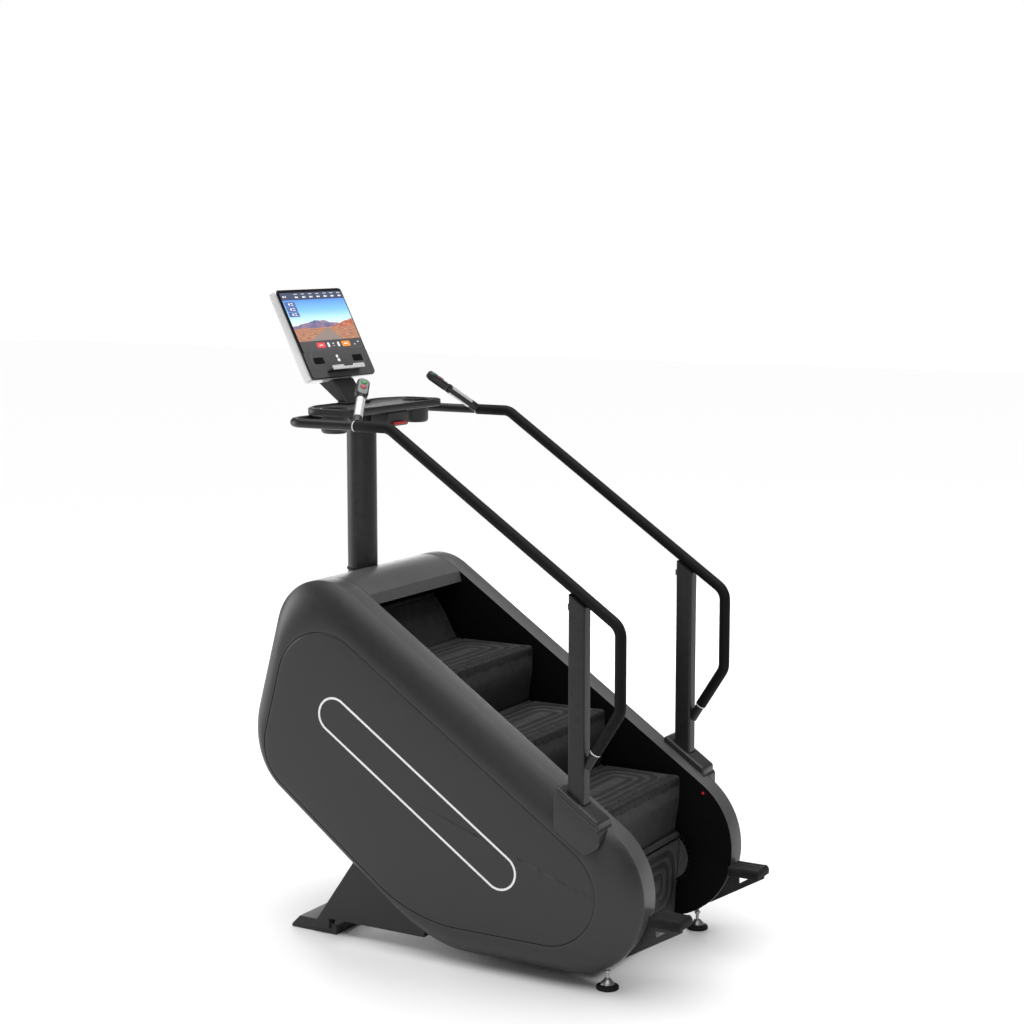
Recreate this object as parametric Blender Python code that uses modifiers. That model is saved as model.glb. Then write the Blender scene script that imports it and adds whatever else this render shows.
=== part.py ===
"""Stair climber: a gym machine with a revolving flight of steps between two moulded side pods.

X runs to the user's right, Y forward from the entry to the console, Z up. Sizes are in metres.
Lengths are laid out from the rear levelling feet (Y = 0), and one empty then moves the whole
machine so that its origin lies under the middle of its bounding box.
"""

import math

import bmesh
import bpy
from mathutils import Matrix, Vector

# ---------------------------------------------------------------- driving dimensions

GAP = 0.0003                  # air between two pieces that touch

# Steps: each is a tread and a riser, hinged at the nose and carried by axles on two chains.
STEP_RISE = 0.203
STEP_RUN = 0.298
STEP_COUNT = 8
STEP_SIDE_GAP = 0.028         # from the steps to the well's inner wall
BARREL_RADIUS = 0.011         # hinge barrels at noses and axles; also how far a tread stands above its axles
TREAD_THICKNESS = 0.018
RISER_THICKNESS = 0.008
RISER_BOW = 0.015             # how far a riser's lower part curves inwards
NOSE_CLEARANCE = 0.001        # from a nose barrel to the riser below it
AXLE_CLEARANCE = 0.006        # from an axle barrel to the tread behind it
OPEN_AXLE_CLEARANCE = 0.012   # the same at the axles where the run of separate steps begins and ends
CHAIN_RADIUS = 0.095          # pitch radius of the sprockets
LOWER_AXIS_Y = 0.095
LOWER_AXIS_Z = 0.272
CHAIN_PHASE = 0.0127          # how far the last straight axle is above the lower sprocket's tangent point

# Drive
CHAIN_HALF_THICKNESS = 0.0065
CHAIN_BESIDE_STEPS = 0.006
CHAIN_WIDTH = 0.008
SPROCKET_CLEARANCE = 0.0008   # from the sprockets to the chains' inner side
SHAFT_RADIUS = 0.0175
SHAFT_CLEARANCE = 0.0003
SHAFT_HOLE_IN_WALL = 0.021
BEARING_RADIUS = 0.036
DRIVE_PULLEY_RADIUS = 0.100
MOTOR_PULLEY_RADIUS = 0.035
PULLEY_WIDTH = 0.016
BELT_THICKNESS = 0.004
BELT_CLEARANCE = 0.0008       # from the pulleys to the belt's inner side
MOTOR_RADIUS = 0.085
MOTOR_LENGTH = 0.24
MOTOR_SHAFT_RADIUS = 0.012
MOTOR_FORWARD = 0.195         # from the drive shaft
MOTOR_DOWN = 0.256

# Pods: the shells, panels and liners on the two sides
WELL_HALF_WIDTH = 0.300       # inner wall of the well
BAND_WIDTH = 0.085            # the flat band, from the well to the seam with the outer shell
SHELL_ROLL = 0.056            # from the seam out to the shell's rolled rim, at the inset panel
WALL = 0.003
SHELL_START = math.radians(42)  # how steeply the shell turns away from the band at the seam
COVER_ABOVE_STEPS = 0.023     # from the line of the noses up to the pods' sloping top
REAR_REACH = 0.245            # from the lower axis back to the rearmost point
GROUND_CLEARANCE = 0.045
BELLY_BEHIND_SHAFT = 0.3953   # from the drive shaft back to where the flat bottom turns up
BELLY_ANGLE = math.radians(36.7)
FRONT_REACH = 0.387           # from the drive shaft forward to the lower end of the front face
FRONT_DROP = 0.289            # from the drive shaft down to the lower end of the front face
FRONT_LEAN = math.radians(15.1)
POD_RADII = (0.272, 0.272, 0.40, 0.285, 0.197)     # rear top, rear bottom, belly, front, top
PANEL_INSETS = (0.123, 0.150, 0.097, 0.042, 0.083)  # top, rear, bottom, belly, front
PANEL_RADII = (0.19, 0.19, 0.55, 0.17, 0.19)
PANEL_GROOVE = 0.0015
PANEL_CROWN = 0.004
COVER_WALL = 0.004
COVER_LIP_BEHIND_SHAFT = 0.0753
COVER_LIP_DROP = 0.038
COVER_SPLIT_ABOVE_SHAFT = 0.064
LOWER_COVER_START_Y = 0.14

# Side plates, tubes, column
PLATE_BESIDE_WELL = 0.020
PLATE_THICKNESS = 0.006
PLATE_INSET = 0.028
TUBE = 0.050
BEAM_DEPTH = 0.060
BEAM_HEIGHT = 0.040
BEAM_ABOVE_SHAFT = 0.284
COLUMN_FORWARD = 0.1527       # from the drive shaft
COLUMN_RADIUS = 0.054
REAR_TUBE_Y = 0.285
REAR_TUBE_Z = 0.092
WALL_CUT_CLEARANCE = 0.0015

# Posts, handrails, sleeves
POST_BESIDE_WELL = 0.100
POST_WIDTH = 0.050
POST_DEPTH = 0.060
POST_Y = 0.0825
POST_ABOVE_AXIS = 0.088       # the post's foot, above the lower axis
RAIL_RADIUS = 0.016
SLEEVE_SKIN = 0.003           # thickness of the rubber over the rail
SLEEVE_CLEARANCE = 0.0003
RAIL_ABOVE_SHAFT = 0.904
RAIL_KNEE_BEHIND_SHAFT = 0.2283
RAIL_FRONT_FORWARD = 0.035    # from the column
RAIL_REAR_Y = -0.067
RAIL_RETURN_LENGTH = 0.2762   # the upright stretch between the two rear bends
RAIL_RETURN_ANGLE = math.radians(58)
RAIL_CORNER_RADIUS = 0.060
SLEEVE_BEHIND_COLUMN = 0.247
SLEEVE_LOWER_CUT = 0.034      # bare tube left between the sleeve and the post

# Boots
BOOT_INWARD = 0.050           # from the post's axis
BOOT_OUTWARD = 0.052
BOOT_FRONT = 0.0675           # from the post's axis
BOOT_REAR = 0.1005
BOOT_COLLAR = 0.026           # above the pod's sloping top
BOOT_DEPTH = 0.120

# Console, tray, grips
TRAY_ABOVE_RAIL = 0.0175
TRAY_THICKNESS = 0.0265
TRAY_HALF_WIDTH = 0.318
TRAY_REARWARD = 0.163         # from the column, as are the next lengths
TRAY_FORWARD = 0.065
CUP_X = 0.261
CUP_REARWARD = 0.064
CUP_RADIUS = 0.047
CUP_WALL = 0.004
CUP_BELOW_TRAY = 0.0615
CONSOLE_HALF_WIDTH = 0.2003
CONSOLE_HEIGHT = 0.3515
CONSOLE_DEPTH = 0.045
CONSOLE_TILT = math.radians(26.7)
CONSOLE_FORWARD = 0.068
CONSOLE_ABOVE_TRAY = 0.1165
SCREEN_THICKNESS = 0.006
NECK_HALF_WIDTH = 0.072
LEDGE_HALF_WIDTH = 0.098
LEDGE_DEPTH = 0.032
LEDGE_HEIGHT = 0.012
GRIP_RADIUS = 0.0165
GRIP_BASE_REARWARD = 0.2505   # from the column
GRIP_INWARD = 0.190
GRIP_FORWARD = 0.0975
GRIP_RISE = 0.138
GRIP_HEAD_LENGTH = 0.095
GRIP_HEAD_WIDTH = 0.046
GRIP_HEAD_DEPTH = 0.030
BUTTON_RADIUS = 0.009
BUTTON_HEIGHT = 0.006
BUTTON_TRAVEL = 0.002
BUTTON_SPACING = 0.026
BUTTON_CLEARANCE = 0.0004
STOP_BOX = (0.130, 0.075, 0.052)
STOP_BOX_REARWARD = 0.159
STOP_PULL = (0.070, 0.045, 0.008)
STOP_PULL_OUT = 0.016
STOP_TRAVEL = 0.006

# Feet and pegs
FOOT_BESIDE_PLATE = 0.028
FOOT_PAD_RADIUS = 0.038
FOOT_STUD_RADIUS = 0.006
FOOT_TOP_Z = 0.125
PEG_BESIDE_WELL = 0.0135
PEG_WIDTH = 0.095
PEG_LENGTH = 0.148
PEG_THICKNESS = 0.034
PEG_REAR_Y = -0.268
PEG_TOP_Z = 0.273
GUSSET_THICKNESS = 0.010
FRONT_FOOT_FORWARD = 0.0347   # from the drive shaft to the bar's rear edge
FRONT_FOOT_DEPTH = 0.195
FRONT_FOOT_BESIDE_PLATE = 0.042
FRONT_FOOT_HEIGHT = 0.045
FRONT_LEG_WIDTH = 0.045

# ---------------------------------------------------------------- values that follow

STEP_ANGLE = math.atan2(STEP_RISE, STEP_RUN)
STEP_PITCH = math.hypot(STEP_RISE, STEP_RUN)
DOWN = Vector((-math.cos(STEP_ANGLE), -math.sin(STEP_ANGLE)))     # way the steps run, as (Y, Z)
OUT = Vector((-math.sin(STEP_ANGLE), math.cos(STEP_ANGLE)))       # towards the user
STRAIGHT = (STEP_COUNT * STEP_PITCH - 2 * math.pi * CHAIN_RADIUS) / 2
LOWER_AXIS = Vector((LOWER_AXIS_Y, LOWER_AXIS_Z))
UPPER_AXIS = LOWER_AXIS - DOWN * STRAIGHT
MOTOR_AXIS = UPPER_AXIS + Vector((MOTOR_FORWARD, -MOTOR_DOWN))

SLEEVE_RADIUS = RAIL_RADIUS + SLEEVE_SKIN
STEP_HALF_WIDTH = WELL_HALF_WIDTH - STEP_SIDE_GAP
CHAIN_INNER_X = STEP_HALF_WIDTH + CHAIN_BESIDE_STEPS
SEAM_X = WELL_HALF_WIDTH + BAND_WIDTH
POD_SIDE_X = SEAM_X + SHELL_ROLL
PLATE_X = WELL_HALF_WIDTH + PLATE_BESIDE_WELL
PLATE_OUTER_X = PLATE_X + PLATE_THICKNESS
WALL_CUT_OUT, WALL_CUT_IN = -PLATE_X - 0.010, -WELL_HALF_WIDTH + 0.020    # ends of cutters through a liner
POST_X = WELL_HALF_WIDTH + POST_BESIDE_WELL
BOOT_INNER_X, BOOT_OUTER_X = POST_X - BOOT_INWARD, POST_X + BOOT_OUTWARD
FOOT_X = PLATE_X + FOOT_BESIDE_PLATE
PEG_X = WELL_HALF_WIDTH + PEG_BESIDE_WELL
FRONT_FOOT_HALF_WIDTH = PLATE_X + FRONT_FOOT_BESIDE_PLATE

BELLY_START = UPPER_AXIS.x - BELLY_BEHIND_SHAFT
COVER_LIP_Y = UPPER_AXIS.x - COVER_LIP_BEHIND_SHAFT
COVER_SPLIT_Z = UPPER_AXIS.y + COVER_SPLIT_ABOVE_SHAFT
BEAM_TOP_Z = UPPER_AXIS.y + BEAM_ABOVE_SHAFT
COLUMN_Y = UPPER_AXIS.x + COLUMN_FORWARD
FRONT_FOOT_REAR_Y = UPPER_AXIS.x + FRONT_FOOT_FORWARD
FRONT_FOOT_FRONT_Y = FRONT_FOOT_REAR_Y + FRONT_FOOT_DEPTH
POST_BOTTOM_Z = LOWER_AXIS_Z + POST_ABOVE_AXIS
RAIL_TOP_Z = UPPER_AXIS.y + RAIL_ABOVE_SHAFT
RAIL_KNEE_Y = UPPER_AXIS.x - RAIL_KNEE_BEHIND_SHAFT
RAIL_FRONT_Y = COLUMN_Y + RAIL_FRONT_FORWARD
SLEEVE_UPPER_Y = COLUMN_Y - SLEEVE_BEHIND_COLUMN
TRAY_BOTTOM_Z = RAIL_TOP_Z + TRAY_ABOVE_RAIL
TRAY_REAR_Y, TRAY_FRONT_Y = COLUMN_Y - TRAY_REARWARD, COLUMN_Y + TRAY_FORWARD
CUP_Y = COLUMN_Y - CUP_REARWARD
CUP_BOTTOM_Z = TRAY_BOTTOM_Z - CUP_BELOW_TRAY
STOP_BOX_REAR_Y = COLUMN_Y - STOP_BOX_REARWARD
CONSOLE_LOW_Y, CONSOLE_LOW_Z = COLUMN_Y + CONSOLE_FORWARD, TRAY_BOTTOM_Z + CONSOLE_ABOVE_TRAY
GRIP_BASE_Y = COLUMN_Y - GRIP_BASE_REARWARD
GRIP_TIP_X, GRIP_TIP_Y, GRIP_TIP_Z = POST_X - GRIP_INWARD, GRIP_BASE_Y + GRIP_FORWARD, RAIL_TOP_Z + GRIP_RISE

NOSE_OFFSET = CHAIN_RADIUS + STEP_RUN * STEP_RISE / STEP_PITCH + BARREL_RADIUS
POD_TOP_OFFSET = NOSE_OFFSET + COVER_ABOVE_STEPS


def clear_scene():
    for item in list(bpy.data.objects):
        bpy.data.objects.remove(item, do_unlink=True)


clear_scene()
machine = bpy.data.collections.new("stair_climber")
cutters = bpy.data.collections.new("cutters")
for group in (machine, cutters):
    bpy.context.scene.collection.children.link(group)
origin = bpy.data.objects.new("origin_under_the_middle", None)
machine.objects.link(origin)


# ---------------------------------------------------------------- materials

def material(name, colour, roughness, metallic=0.0):
    made = bpy.data.materials.new(name)
    made.use_nodes = True
    shader = made.node_tree.nodes["Principled BSDF"]
    shader.inputs["Base Color"].default_value = (*colour, 1.0)
    shader.inputs["Roughness"].default_value = roughness
    shader.inputs["Metallic"].default_value = metallic
    return made


SHELL_GREY = material("shell_grey", (0.060, 0.060, 0.063), 0.42)
PANEL_GREY = material("panel_grey", (0.045, 0.045, 0.048), 0.45)
BAND_GREY = material("band_grey", (0.065, 0.065, 0.067), 0.45)
COVER_GREY = material("cover_grey", (0.070, 0.070, 0.072), 0.40)
STEP_GREY = material("step_grey", (0.055, 0.055, 0.057), 0.55)
FRAME_BLACK = material("frame_black", (0.020, 0.020, 0.021), 0.50, 0.6)
POST_GREY = material("post_grey", (0.090, 0.090, 0.093), 0.38, 0.5)
RUBBER_BLACK = material("rubber_black", (0.018, 0.018, 0.018), 0.70)
STEEL = material("steel", (0.45, 0.45, 0.45), 0.30, 1.0)
MOULDED_BLACK = material("moulded_black", (0.025, 0.025, 0.026), 0.45)
SCREEN_BLACK = material("screen_black", (0.006, 0.006, 0.008), 0.08)
SILVER = material("silver", (0.62, 0.62, 0.63), 0.30, 0.7)
LEDGE_WHITE = material("ledge_white", (0.80, 0.80, 0.80), 0.35)
BUTTON_GREEN = material("button_green", (0.02, 0.45, 0.07), 0.35)
BUTTON_RED = material("button_red", (0.55, 0.03, 0.03), 0.35)


# ---------------------------------------------------------------- outlines

def meet(point_a, way_a, point_b, way_b):
    """Where two lines in the plane cross, each given by a point and a direction."""
    cross = way_a.x * way_b.y - way_a.y * way_b.x
    apart = point_b - point_a
    along = (apart.x * way_b.y - apart.y * way_b.x) / cross
    return point_a + way_a * along


def fillet(before, corner, after, radius, steps):
    """The points of an arc that rounds one corner of a path, in two or three dimensions."""
    back = (before - corner).normalized()
    ahead = (after - corner).normalized()
    half = back.angle(ahead) / 2
    reach = radius / math.tan(half)
    middle = corner + (back + ahead).normalized() * (radius / math.sin(half))
    start = corner + back * reach - middle
    side = (corner + ahead * reach - middle)
    turn = math.pi - 2 * half
    across = (side - start * math.cos(turn)) / math.sin(turn)
    return [middle + start * math.cos(turn * i / steps) + across * math.sin(turn * i / steps)
            for i in range(steps + 1)]


def rounded(corners, radii, steps):
    """A closed outline through the corners, each rounded to its radius."""
    count = len(corners)
    points = []
    for i, corner in enumerate(corners):
        points += fillet(corners[i - 1], corner, corners[(i + 1) % count], radii[i], steps)
    return points


def rounded_path(corners, radius, steps):
    """An open path whose inner corners are rounded."""
    points = [corners[0]]
    for before, corner, after in zip(corners, corners[1:], corners[2:]):
        points += fillet(before, corner, after, radius, steps)
    return points + [corners[-1]]


def round_two(centre_a, radius_a, centre_b, radius_b, steps=12):
    """The outline of a belt or chain round two circles, anticlockwise."""
    line = centre_b - centre_a
    lean = math.acos((radius_a - radius_b) / line.length)
    heading = math.atan2(line.y, line.x)
    points = []
    for centre, radius, first, last in ((centre_a, radius_a, heading + lean, heading + 2 * math.pi - lean),
                                        (centre_b, radius_b, heading - lean, heading + lean)):
        for i in range(steps + 1):
            a = first + (last - first) * i / steps
            points.append(centre + Vector((math.cos(a), math.sin(a))) * radius)
    return points


def pod_lines():
    """The five straight lines of a pod's outline, as (point, direction) pairs, anticlockwise
    from the sloping top: top, rear, bottom, belly, front."""
    top = (LOWER_AXIS + OUT * POD_TOP_OFFSET, DOWN)
    rear = (Vector((LOWER_AXIS_Y - REAR_REACH, 0)), Vector((0, -1)))
    bottom = (Vector((0, GROUND_CLEARANCE)), Vector((1, 0)))
    belly = (Vector((BELLY_START, GROUND_CLEARANCE)), Vector((math.cos(BELLY_ANGLE), math.sin(BELLY_ANGLE))))
    front = (UPPER_AXIS + Vector((FRONT_REACH, -FRONT_DROP)), Vector((-math.sin(FRONT_LEAN), math.cos(FRONT_LEAN))))
    return [top, rear, bottom, belly, front]


def pod_corners(insets):
    """The corners of the outline that lies inside the pod's by one inset on each line."""
    moved = []
    for (point, way), inset in zip(pod_lines(), insets):
        moved.append((point + Vector((-way.y, way.x)) * inset, way))
    count = len(moved)
    return [meet(*moved[i], *moved[(i + 1) % count]) for i in range(count)]


def pod_outline(inset=0.0, steps=6):
    return rounded(pod_corners([inset] * 5), [r - inset for r in POD_RADII], steps)


def panel_outline(grow=0.0, steps=6):
    insets = [i - grow for i in PANEL_INSETS]
    return rounded(pod_corners(insets), [r + grow for r in PANEL_RADII], steps)


# ---------------------------------------------------------------- shapes

def finish(item, look):
    """Gives a piece its material and hangs it on the machine's origin."""
    item.data.materials.clear()
    item.data.materials.append(look)
    item.parent = origin
    return item


def from_bmesh(name, form, group=machine):
    bmesh.ops.recalc_face_normals(form, faces=form.faces)
    mesh = bpy.data.meshes.new(name)
    form.to_mesh(mesh)
    form.free()
    item = bpy.data.objects.new(name, mesh)
    group.objects.link(item)
    if group is cutters:
        item.hide_render = True
        item.display_type = "WIRE"
        item.parent = origin
    return item


def block(name, low, high, group=machine):
    """A box between two corners."""
    form = bmesh.new()
    bmesh.ops.create_cube(form, size=1.0)
    low, high = Vector(low), Vector(high)
    bmesh.ops.scale(form, vec=high - low, verts=form.verts)
    bmesh.ops.translate(form, vec=(low + high) / 2, verts=form.verts)
    return from_bmesh(name, form, group)


def bar(name, centre, radius, low_x, high_x, sides=32, group=machine):
    """A cylinder along X, about a point (Y, Z)."""
    form = bmesh.new()
    turn = Matrix.Rotation(math.pi / 2, 4, "Y")
    shift = Matrix.Translation(((low_x + high_x) / 2, centre[0], centre[1]))
    bmesh.ops.create_cone(form, cap_ends=True, segments=sides, radius1=radius, radius2=radius,
                          depth=high_x - low_x, matrix=shift @ turn)
    return from_bmesh(name, form, group)


def post_bar(name, centre, radius, low_z, high_z, top_radius=None, sides=32, group=machine):
    """A cylinder or cone along Z, about a point (X, Y)."""
    form = bmesh.new()
    shift = Matrix.Translation((centre[0], centre[1], (low_z + high_z) / 2))
    bmesh.ops.create_cone(form, cap_ends=True, segments=sides, radius1=radius,
                          radius2=radius if top_radius is None else top_radius,
                          depth=high_z - low_z, matrix=shift)
    return from_bmesh(name, form, group)


def welded(item, group=machine):
    """Turns a curve object into a mesh object with its loose caps welded on."""
    bpy.context.view_layer.update()
    seen = item.evaluated_get(bpy.context.evaluated_depsgraph_get())
    mesh = bpy.data.meshes.new_from_object(seen)
    form = bmesh.new()
    form.from_mesh(mesh)
    bmesh.ops.transform(form, matrix=item.matrix_world, verts=form.verts)
    bmesh.ops.remove_doubles(form, verts=form.verts, dist=1e-6)
    name = item.name
    bpy.data.objects.remove(item, do_unlink=True)
    bpy.data.meshes.remove(mesh)
    return from_bmesh(name, form, group)


def prism(name, outlines, low_x, high_x, group=machine):
    """A flat outline in the YZ plane, with holes if more outlines follow, given its width along X."""
    curve = bpy.data.curves.new(name, "CURVE")
    curve.dimensions = "2D"
    curve.fill_mode = "BOTH"
    curve.extrude = (high_x - low_x) / 2
    for outline in outlines:
        spline = curve.splines.new("POLY")
        spline.points.add(len(outline) - 1)
        for point, spot in zip(spline.points, outline):
            point.co = (spot[0], spot[1], 0, 1)
        spline.use_cyclic_u = True
    item = bpy.data.objects.new(name, curve)
    group.objects.link(item)
    item.rotation_euler = (math.pi / 2, 0, math.pi / 2)
    item.location = ((low_x + high_x) / 2, 0, 0)
    return welded(item, group)


def tube(name, points, radius, resolution=3, group=machine):
    """A round bar along a path."""
    curve = bpy.data.curves.new(name, "CURVE")
    curve.dimensions = "3D"
    curve.bevel_depth = radius
    curve.bevel_resolution = resolution
    curve.use_fill_caps = True
    spline = curve.splines.new("POLY")
    spline.points.add(len(points) - 1)
    for point, spot in zip(spline.points, points):
        point.co = (*spot, 1)
    item = bpy.data.objects.new(name, curve)
    group.objects.link(item)
    return welded(item, group)


def loft(name, rows, capped):
    """A solid skin through rings of points: capped at both ends, or closed round on itself."""
    form = bmesh.new()
    rings = [[form.verts.new(spot) for spot in row] for row in rows]
    pairs = list(zip(rings, rings[1:]))
    if capped:
        form.faces.new(rings[0])
        form.faces.new(rings[-1])
    else:
        pairs.append((rings[-1], rings[0]))
    count = len(rings[0])
    for near, far in pairs:
        for i in range(count):
            j = (i + 1) % count
            form.faces.new((near[i], near[j], far[j], far[i]))
    return from_bmesh(name, form)


def turned(name, profile, centre, sides=16):
    """A turned piece about a vertical axis: its profile runs down from the top, as (radius, Z)."""
    mesh = bpy.data.meshes.new(name)
    spots = [(radius, 0, height) for radius, height in profile]
    mesh.from_pydata(spots, [(i, i + 1) for i in range(len(spots) - 1)], [])
    item = bpy.data.objects.new(name, mesh)
    machine.objects.link(item)
    step = item.modifiers.new("turn", "SCREW")
    step.steps = step.render_steps = sides
    step.use_merge_vertices = True
    step.merge_threshold = 0.00001
    item.location = (centre[0], centre[1], 0)
    return welded(item)


def combine(item, other, how):
    """Joins another object to item, or cuts it away, and removes it unless it is a cutter."""
    step = item.modifiers.new(how.lower(), "BOOLEAN")
    step.operation = how
    step.solver = "EXACT"
    step.object = other
    bpy.context.view_layer.update()
    seen = item.evaluated_get(bpy.context.evaluated_depsgraph_get())
    mesh = bpy.data.meshes.new_from_object(seen)
    item.modifiers.clear()
    old = item.data
    item.data = mesh
    bpy.data.meshes.remove(old)
    if other.name not in cutters.objects:
        bpy.data.objects.remove(other, do_unlink=True)
    return item


def join(item, *others):
    for other in others:
        combine(item, other, "UNION")
    return item


def cut(item, *others):
    for other in others:
        combine(item, other, "DIFFERENCE")
    return item


def mirrored(item, name):
    """A copy of a piece reflected to the other side of the machine, its faces still outwards."""
    form = bmesh.new()
    form.from_mesh(item.data)
    bmesh.ops.scale(form, vec=(-1, 1, 1), verts=form.verts)
    bmesh.ops.reverse_faces(form, faces=form.faces)
    mesh = bpy.data.meshes.new(name)
    form.to_mesh(mesh)
    form.free()
    copy = bpy.data.objects.new(name, mesh)
    machine.objects.link(copy)
    return copy


def smooth(item, degrees=35):
    item.data.shade_smooth()
    item.data.set_sharp_from_angle(angle=math.radians(degrees))
    return item


def bevel(item, width, segments=2, limit=35):
    """Rounds a piece's edges."""
    step = item.modifiers.new("rounded_edges", "BEVEL")
    step.width = width
    step.segments = segments
    step.limit_method = "ANGLE"
    step.angle_limit = math.radians(limit)
    return item


def at(item, axis_point):
    """Moves an object's own origin to its joint's axis without moving the piece."""
    point = Vector(axis_point)
    item.data.transform(Matrix.Translation(-point))
    item.location = point
    return item


def baked(item):
    """Applies a piece's modifiers, so that it can be joined or cut."""
    bpy.context.view_layer.update()
    seen = item.evaluated_get(bpy.context.evaluated_depsgraph_get())
    mesh = bpy.data.meshes.new_from_object(seen)
    item.modifiers.clear()
    old = item.data
    item.data = mesh
    bpy.data.meshes.remove(old)
    return item


def both(item, name, look):
    """Finishes a left piece and adds its right-hand twin."""
    item.name = f"{name}_left"
    twin = mirrored(item, f"{name}_right")
    for step in item.modifiers:
        copy = twin.modifiers.new(step.name, step.type)
        for value in ("width", "segments", "limit_method", "angle_limit"):
            setattr(copy, value, getattr(step, value))
    return finish(item, look), finish(twin, look)


def grown(outline, amount):
    """A straight-sided outline moved outwards by an amount; its corners run anticlockwise."""
    lines = []
    for here, following in zip(outline, outline[1:] + outline[:1]):
        way = (following - here).normalized()
        lines.append((here + Vector((way.y, -way.x)) * amount, way))
    return [meet(*lines[i - 1], *lines[i]) for i in range(len(lines))]


def on_level(line, height):
    """The point of a pod line at a height."""
    return meet(*line, Vector((0, height)), Vector((1, 0)))


def on_station(line, forward):
    """The point of a pod line at a distance forward."""
    return meet(*line, Vector((forward, 0)), Vector((0, 1)))


# ---------------------------------------------------------------- steps

def chain_point(distance):
    """The point of the chain's pitch line at a distance along it, from the top of the front run."""
    arc = math.pi * CHAIN_RADIUS
    distance %= 2 * (STRAIGHT + arc)
    for axis, side in ((UPPER_AXIS, 1), (LOWER_AXIS, -1)):
        far_axis = LOWER_AXIS if side == 1 else UPPER_AXIS
        if distance <= STRAIGHT:
            return axis + (OUT * CHAIN_RADIUS + DOWN * distance) * side
        distance -= STRAIGHT
        if distance <= arc:
            turn = distance / CHAIN_RADIUS
            return far_axis + (OUT * math.cos(turn) + DOWN * math.sin(turn)) * CHAIN_RADIUS * side
        distance -= arc
    return chain_point(0.0)


def nose_between(axle, following):
    """The nose hinge of the step that hangs between two axles."""
    line = following - axle
    along = (STEP_RUN ** 2 - STEP_RISE ** 2 + line.length_squared) / (2 * line.length)
    way = line.normalized()
    return axle + way * along + Vector((way.y, -way.x)) * math.sqrt(STEP_RUN ** 2 - along ** 2)


LAST_ON_RUN = 5                                   # the axle that has almost reached the lower sprocket
AXLES = [chain_point(STRAIGHT - CHAIN_PHASE + (i + 1 - LAST_ON_RUN) * STEP_PITCH) for i in range(STEP_COUNT)]
NOSES = [nose_between(AXLES[i], AXLES[(i + 1) % STEP_COUNT]) for i in range(STEP_COUNT)]


def tread_outline(rear_gap):
    """A tread in side view, level, its axle at the centre and its nose hinge a run to the rear."""
    under = BARREL_RADIUS - TREAD_THICKNESS
    last = -math.pi + math.asin(min(1, -under / BARREL_RADIUS))
    arc_steps = 8
    points = [Vector((-rear_gap, BARREL_RADIUS))]
    for i in range(arc_steps + 1):
        a = math.pi / 2 + (last - math.pi / 2) * i / arc_steps
        points.append(Vector((-STEP_RUN - math.cos(a) * BARREL_RADIUS, math.sin(a) * BARREL_RADIUS)))
    return points + [Vector((-rear_gap, under))]


def riser_outline(top_gap):
    """A riser in side view, upright, its nose hinge at the centre and its axle barrel a rise below."""
    bow_start, bow_end, rows = 0.42 * STEP_RISE, STEP_RISE - BARREL_RADIUS, 7
    outer = [Vector((-BARREL_RADIUS, -top_gap))]
    for i in range(rows + 1):
        share = i / rows
        eased = share * share * (3 - 2 * share)
        outer.append(Vector((-BARREL_RADIUS + RISER_BOW * eased, -bow_start - (bow_end - bow_start) * share)))
    inner = [spot + Vector((RISER_THICKNESS, 0)) for spot in outer]
    first = math.asin(min(1, (RISER_BOW - BARREL_RADIUS) / BARREL_RADIUS))
    last = math.asin(min(1, (RISER_BOW - BARREL_RADIUS + RISER_THICKNESS) / BARREL_RADIUS))
    arc_steps = 10
    barrel = []
    for i in range(arc_steps + 1):
        a = -first + (2 * math.pi - last + first) * i / arc_steps
        barrel.append(Vector((-math.sin(a) * BARREL_RADIUS, -STEP_RISE + math.cos(a) * BARREL_RADIUS)))
    return outer[:-1] + barrel + inner[-2::-1]


def laid(item, pivot, way, level_way):
    """Turns a step piece from its level pose to the way that it points, about its pivot."""
    angle = math.atan2(way.y, way.x) - math.atan2(level_way.y, level_way.x)
    item.data.transform(Matrix.Translation((0, *pivot)) @ Matrix.Rotation(angle, 4, "X"))
    return item


def make_step_piece(kind, i, name, gap):
    """One tread or riser of step i, from the shared outline."""
    pivot, end = (AXLES[i], NOSES[i]) if kind == "tread" else (NOSES[i], AXLES[(i + 1) % STEP_COUNT])
    outline = tread_outline(gap) if kind == "tread" else riser_outline(gap)
    item = prism(name, [outline], -STEP_HALF_WIDTH, STEP_HALF_WIDTH)
    return laid(item, pivot, (end - pivot), Vector((-1, 0)) if kind == "tread" else Vector((0, -1)))


def make_steps():
    """Five treads and five risers on their own, and the three steps on the return run as one."""
    for i in range(LAST_ON_RUN):
        turns_about = AXLES[1] if i == 0 else AXLES[i]
        tread_gap = BARREL_RADIUS + (OPEN_AXLE_CLEARANCE if i == 0 else AXLE_CLEARANCE)
        for kind, gap in (("tread", tread_gap), ("riser", BARREL_RADIUS + NOSE_CLEARANCE)):
            piece = make_step_piece(kind, i, f"{kind}_{i + 1}", gap)
            finish(at(piece, (0, *turns_about)), STEP_GREY)
    joined = None
    for i in range(LAST_ON_RUN, STEP_COUNT):
        first_gap = BARREL_RADIUS + OPEN_AXLE_CLEARANCE if joined is None else 0
        for kind, gap in (("tread", first_gap), ("riser", 0)):
            piece = make_step_piece(kind, i, f"return_{kind}_{i + 1}", gap)
            joined = piece if joined is None else join(joined, piece)
    joined.name = "return_steps"
    finish(at(joined, (0, *AXLES[LAST_ON_RUN])), STEP_GREY)


# ---------------------------------------------------------------- drive

PULLEY_X = PLATE_OUTER_X + 0.012


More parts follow.
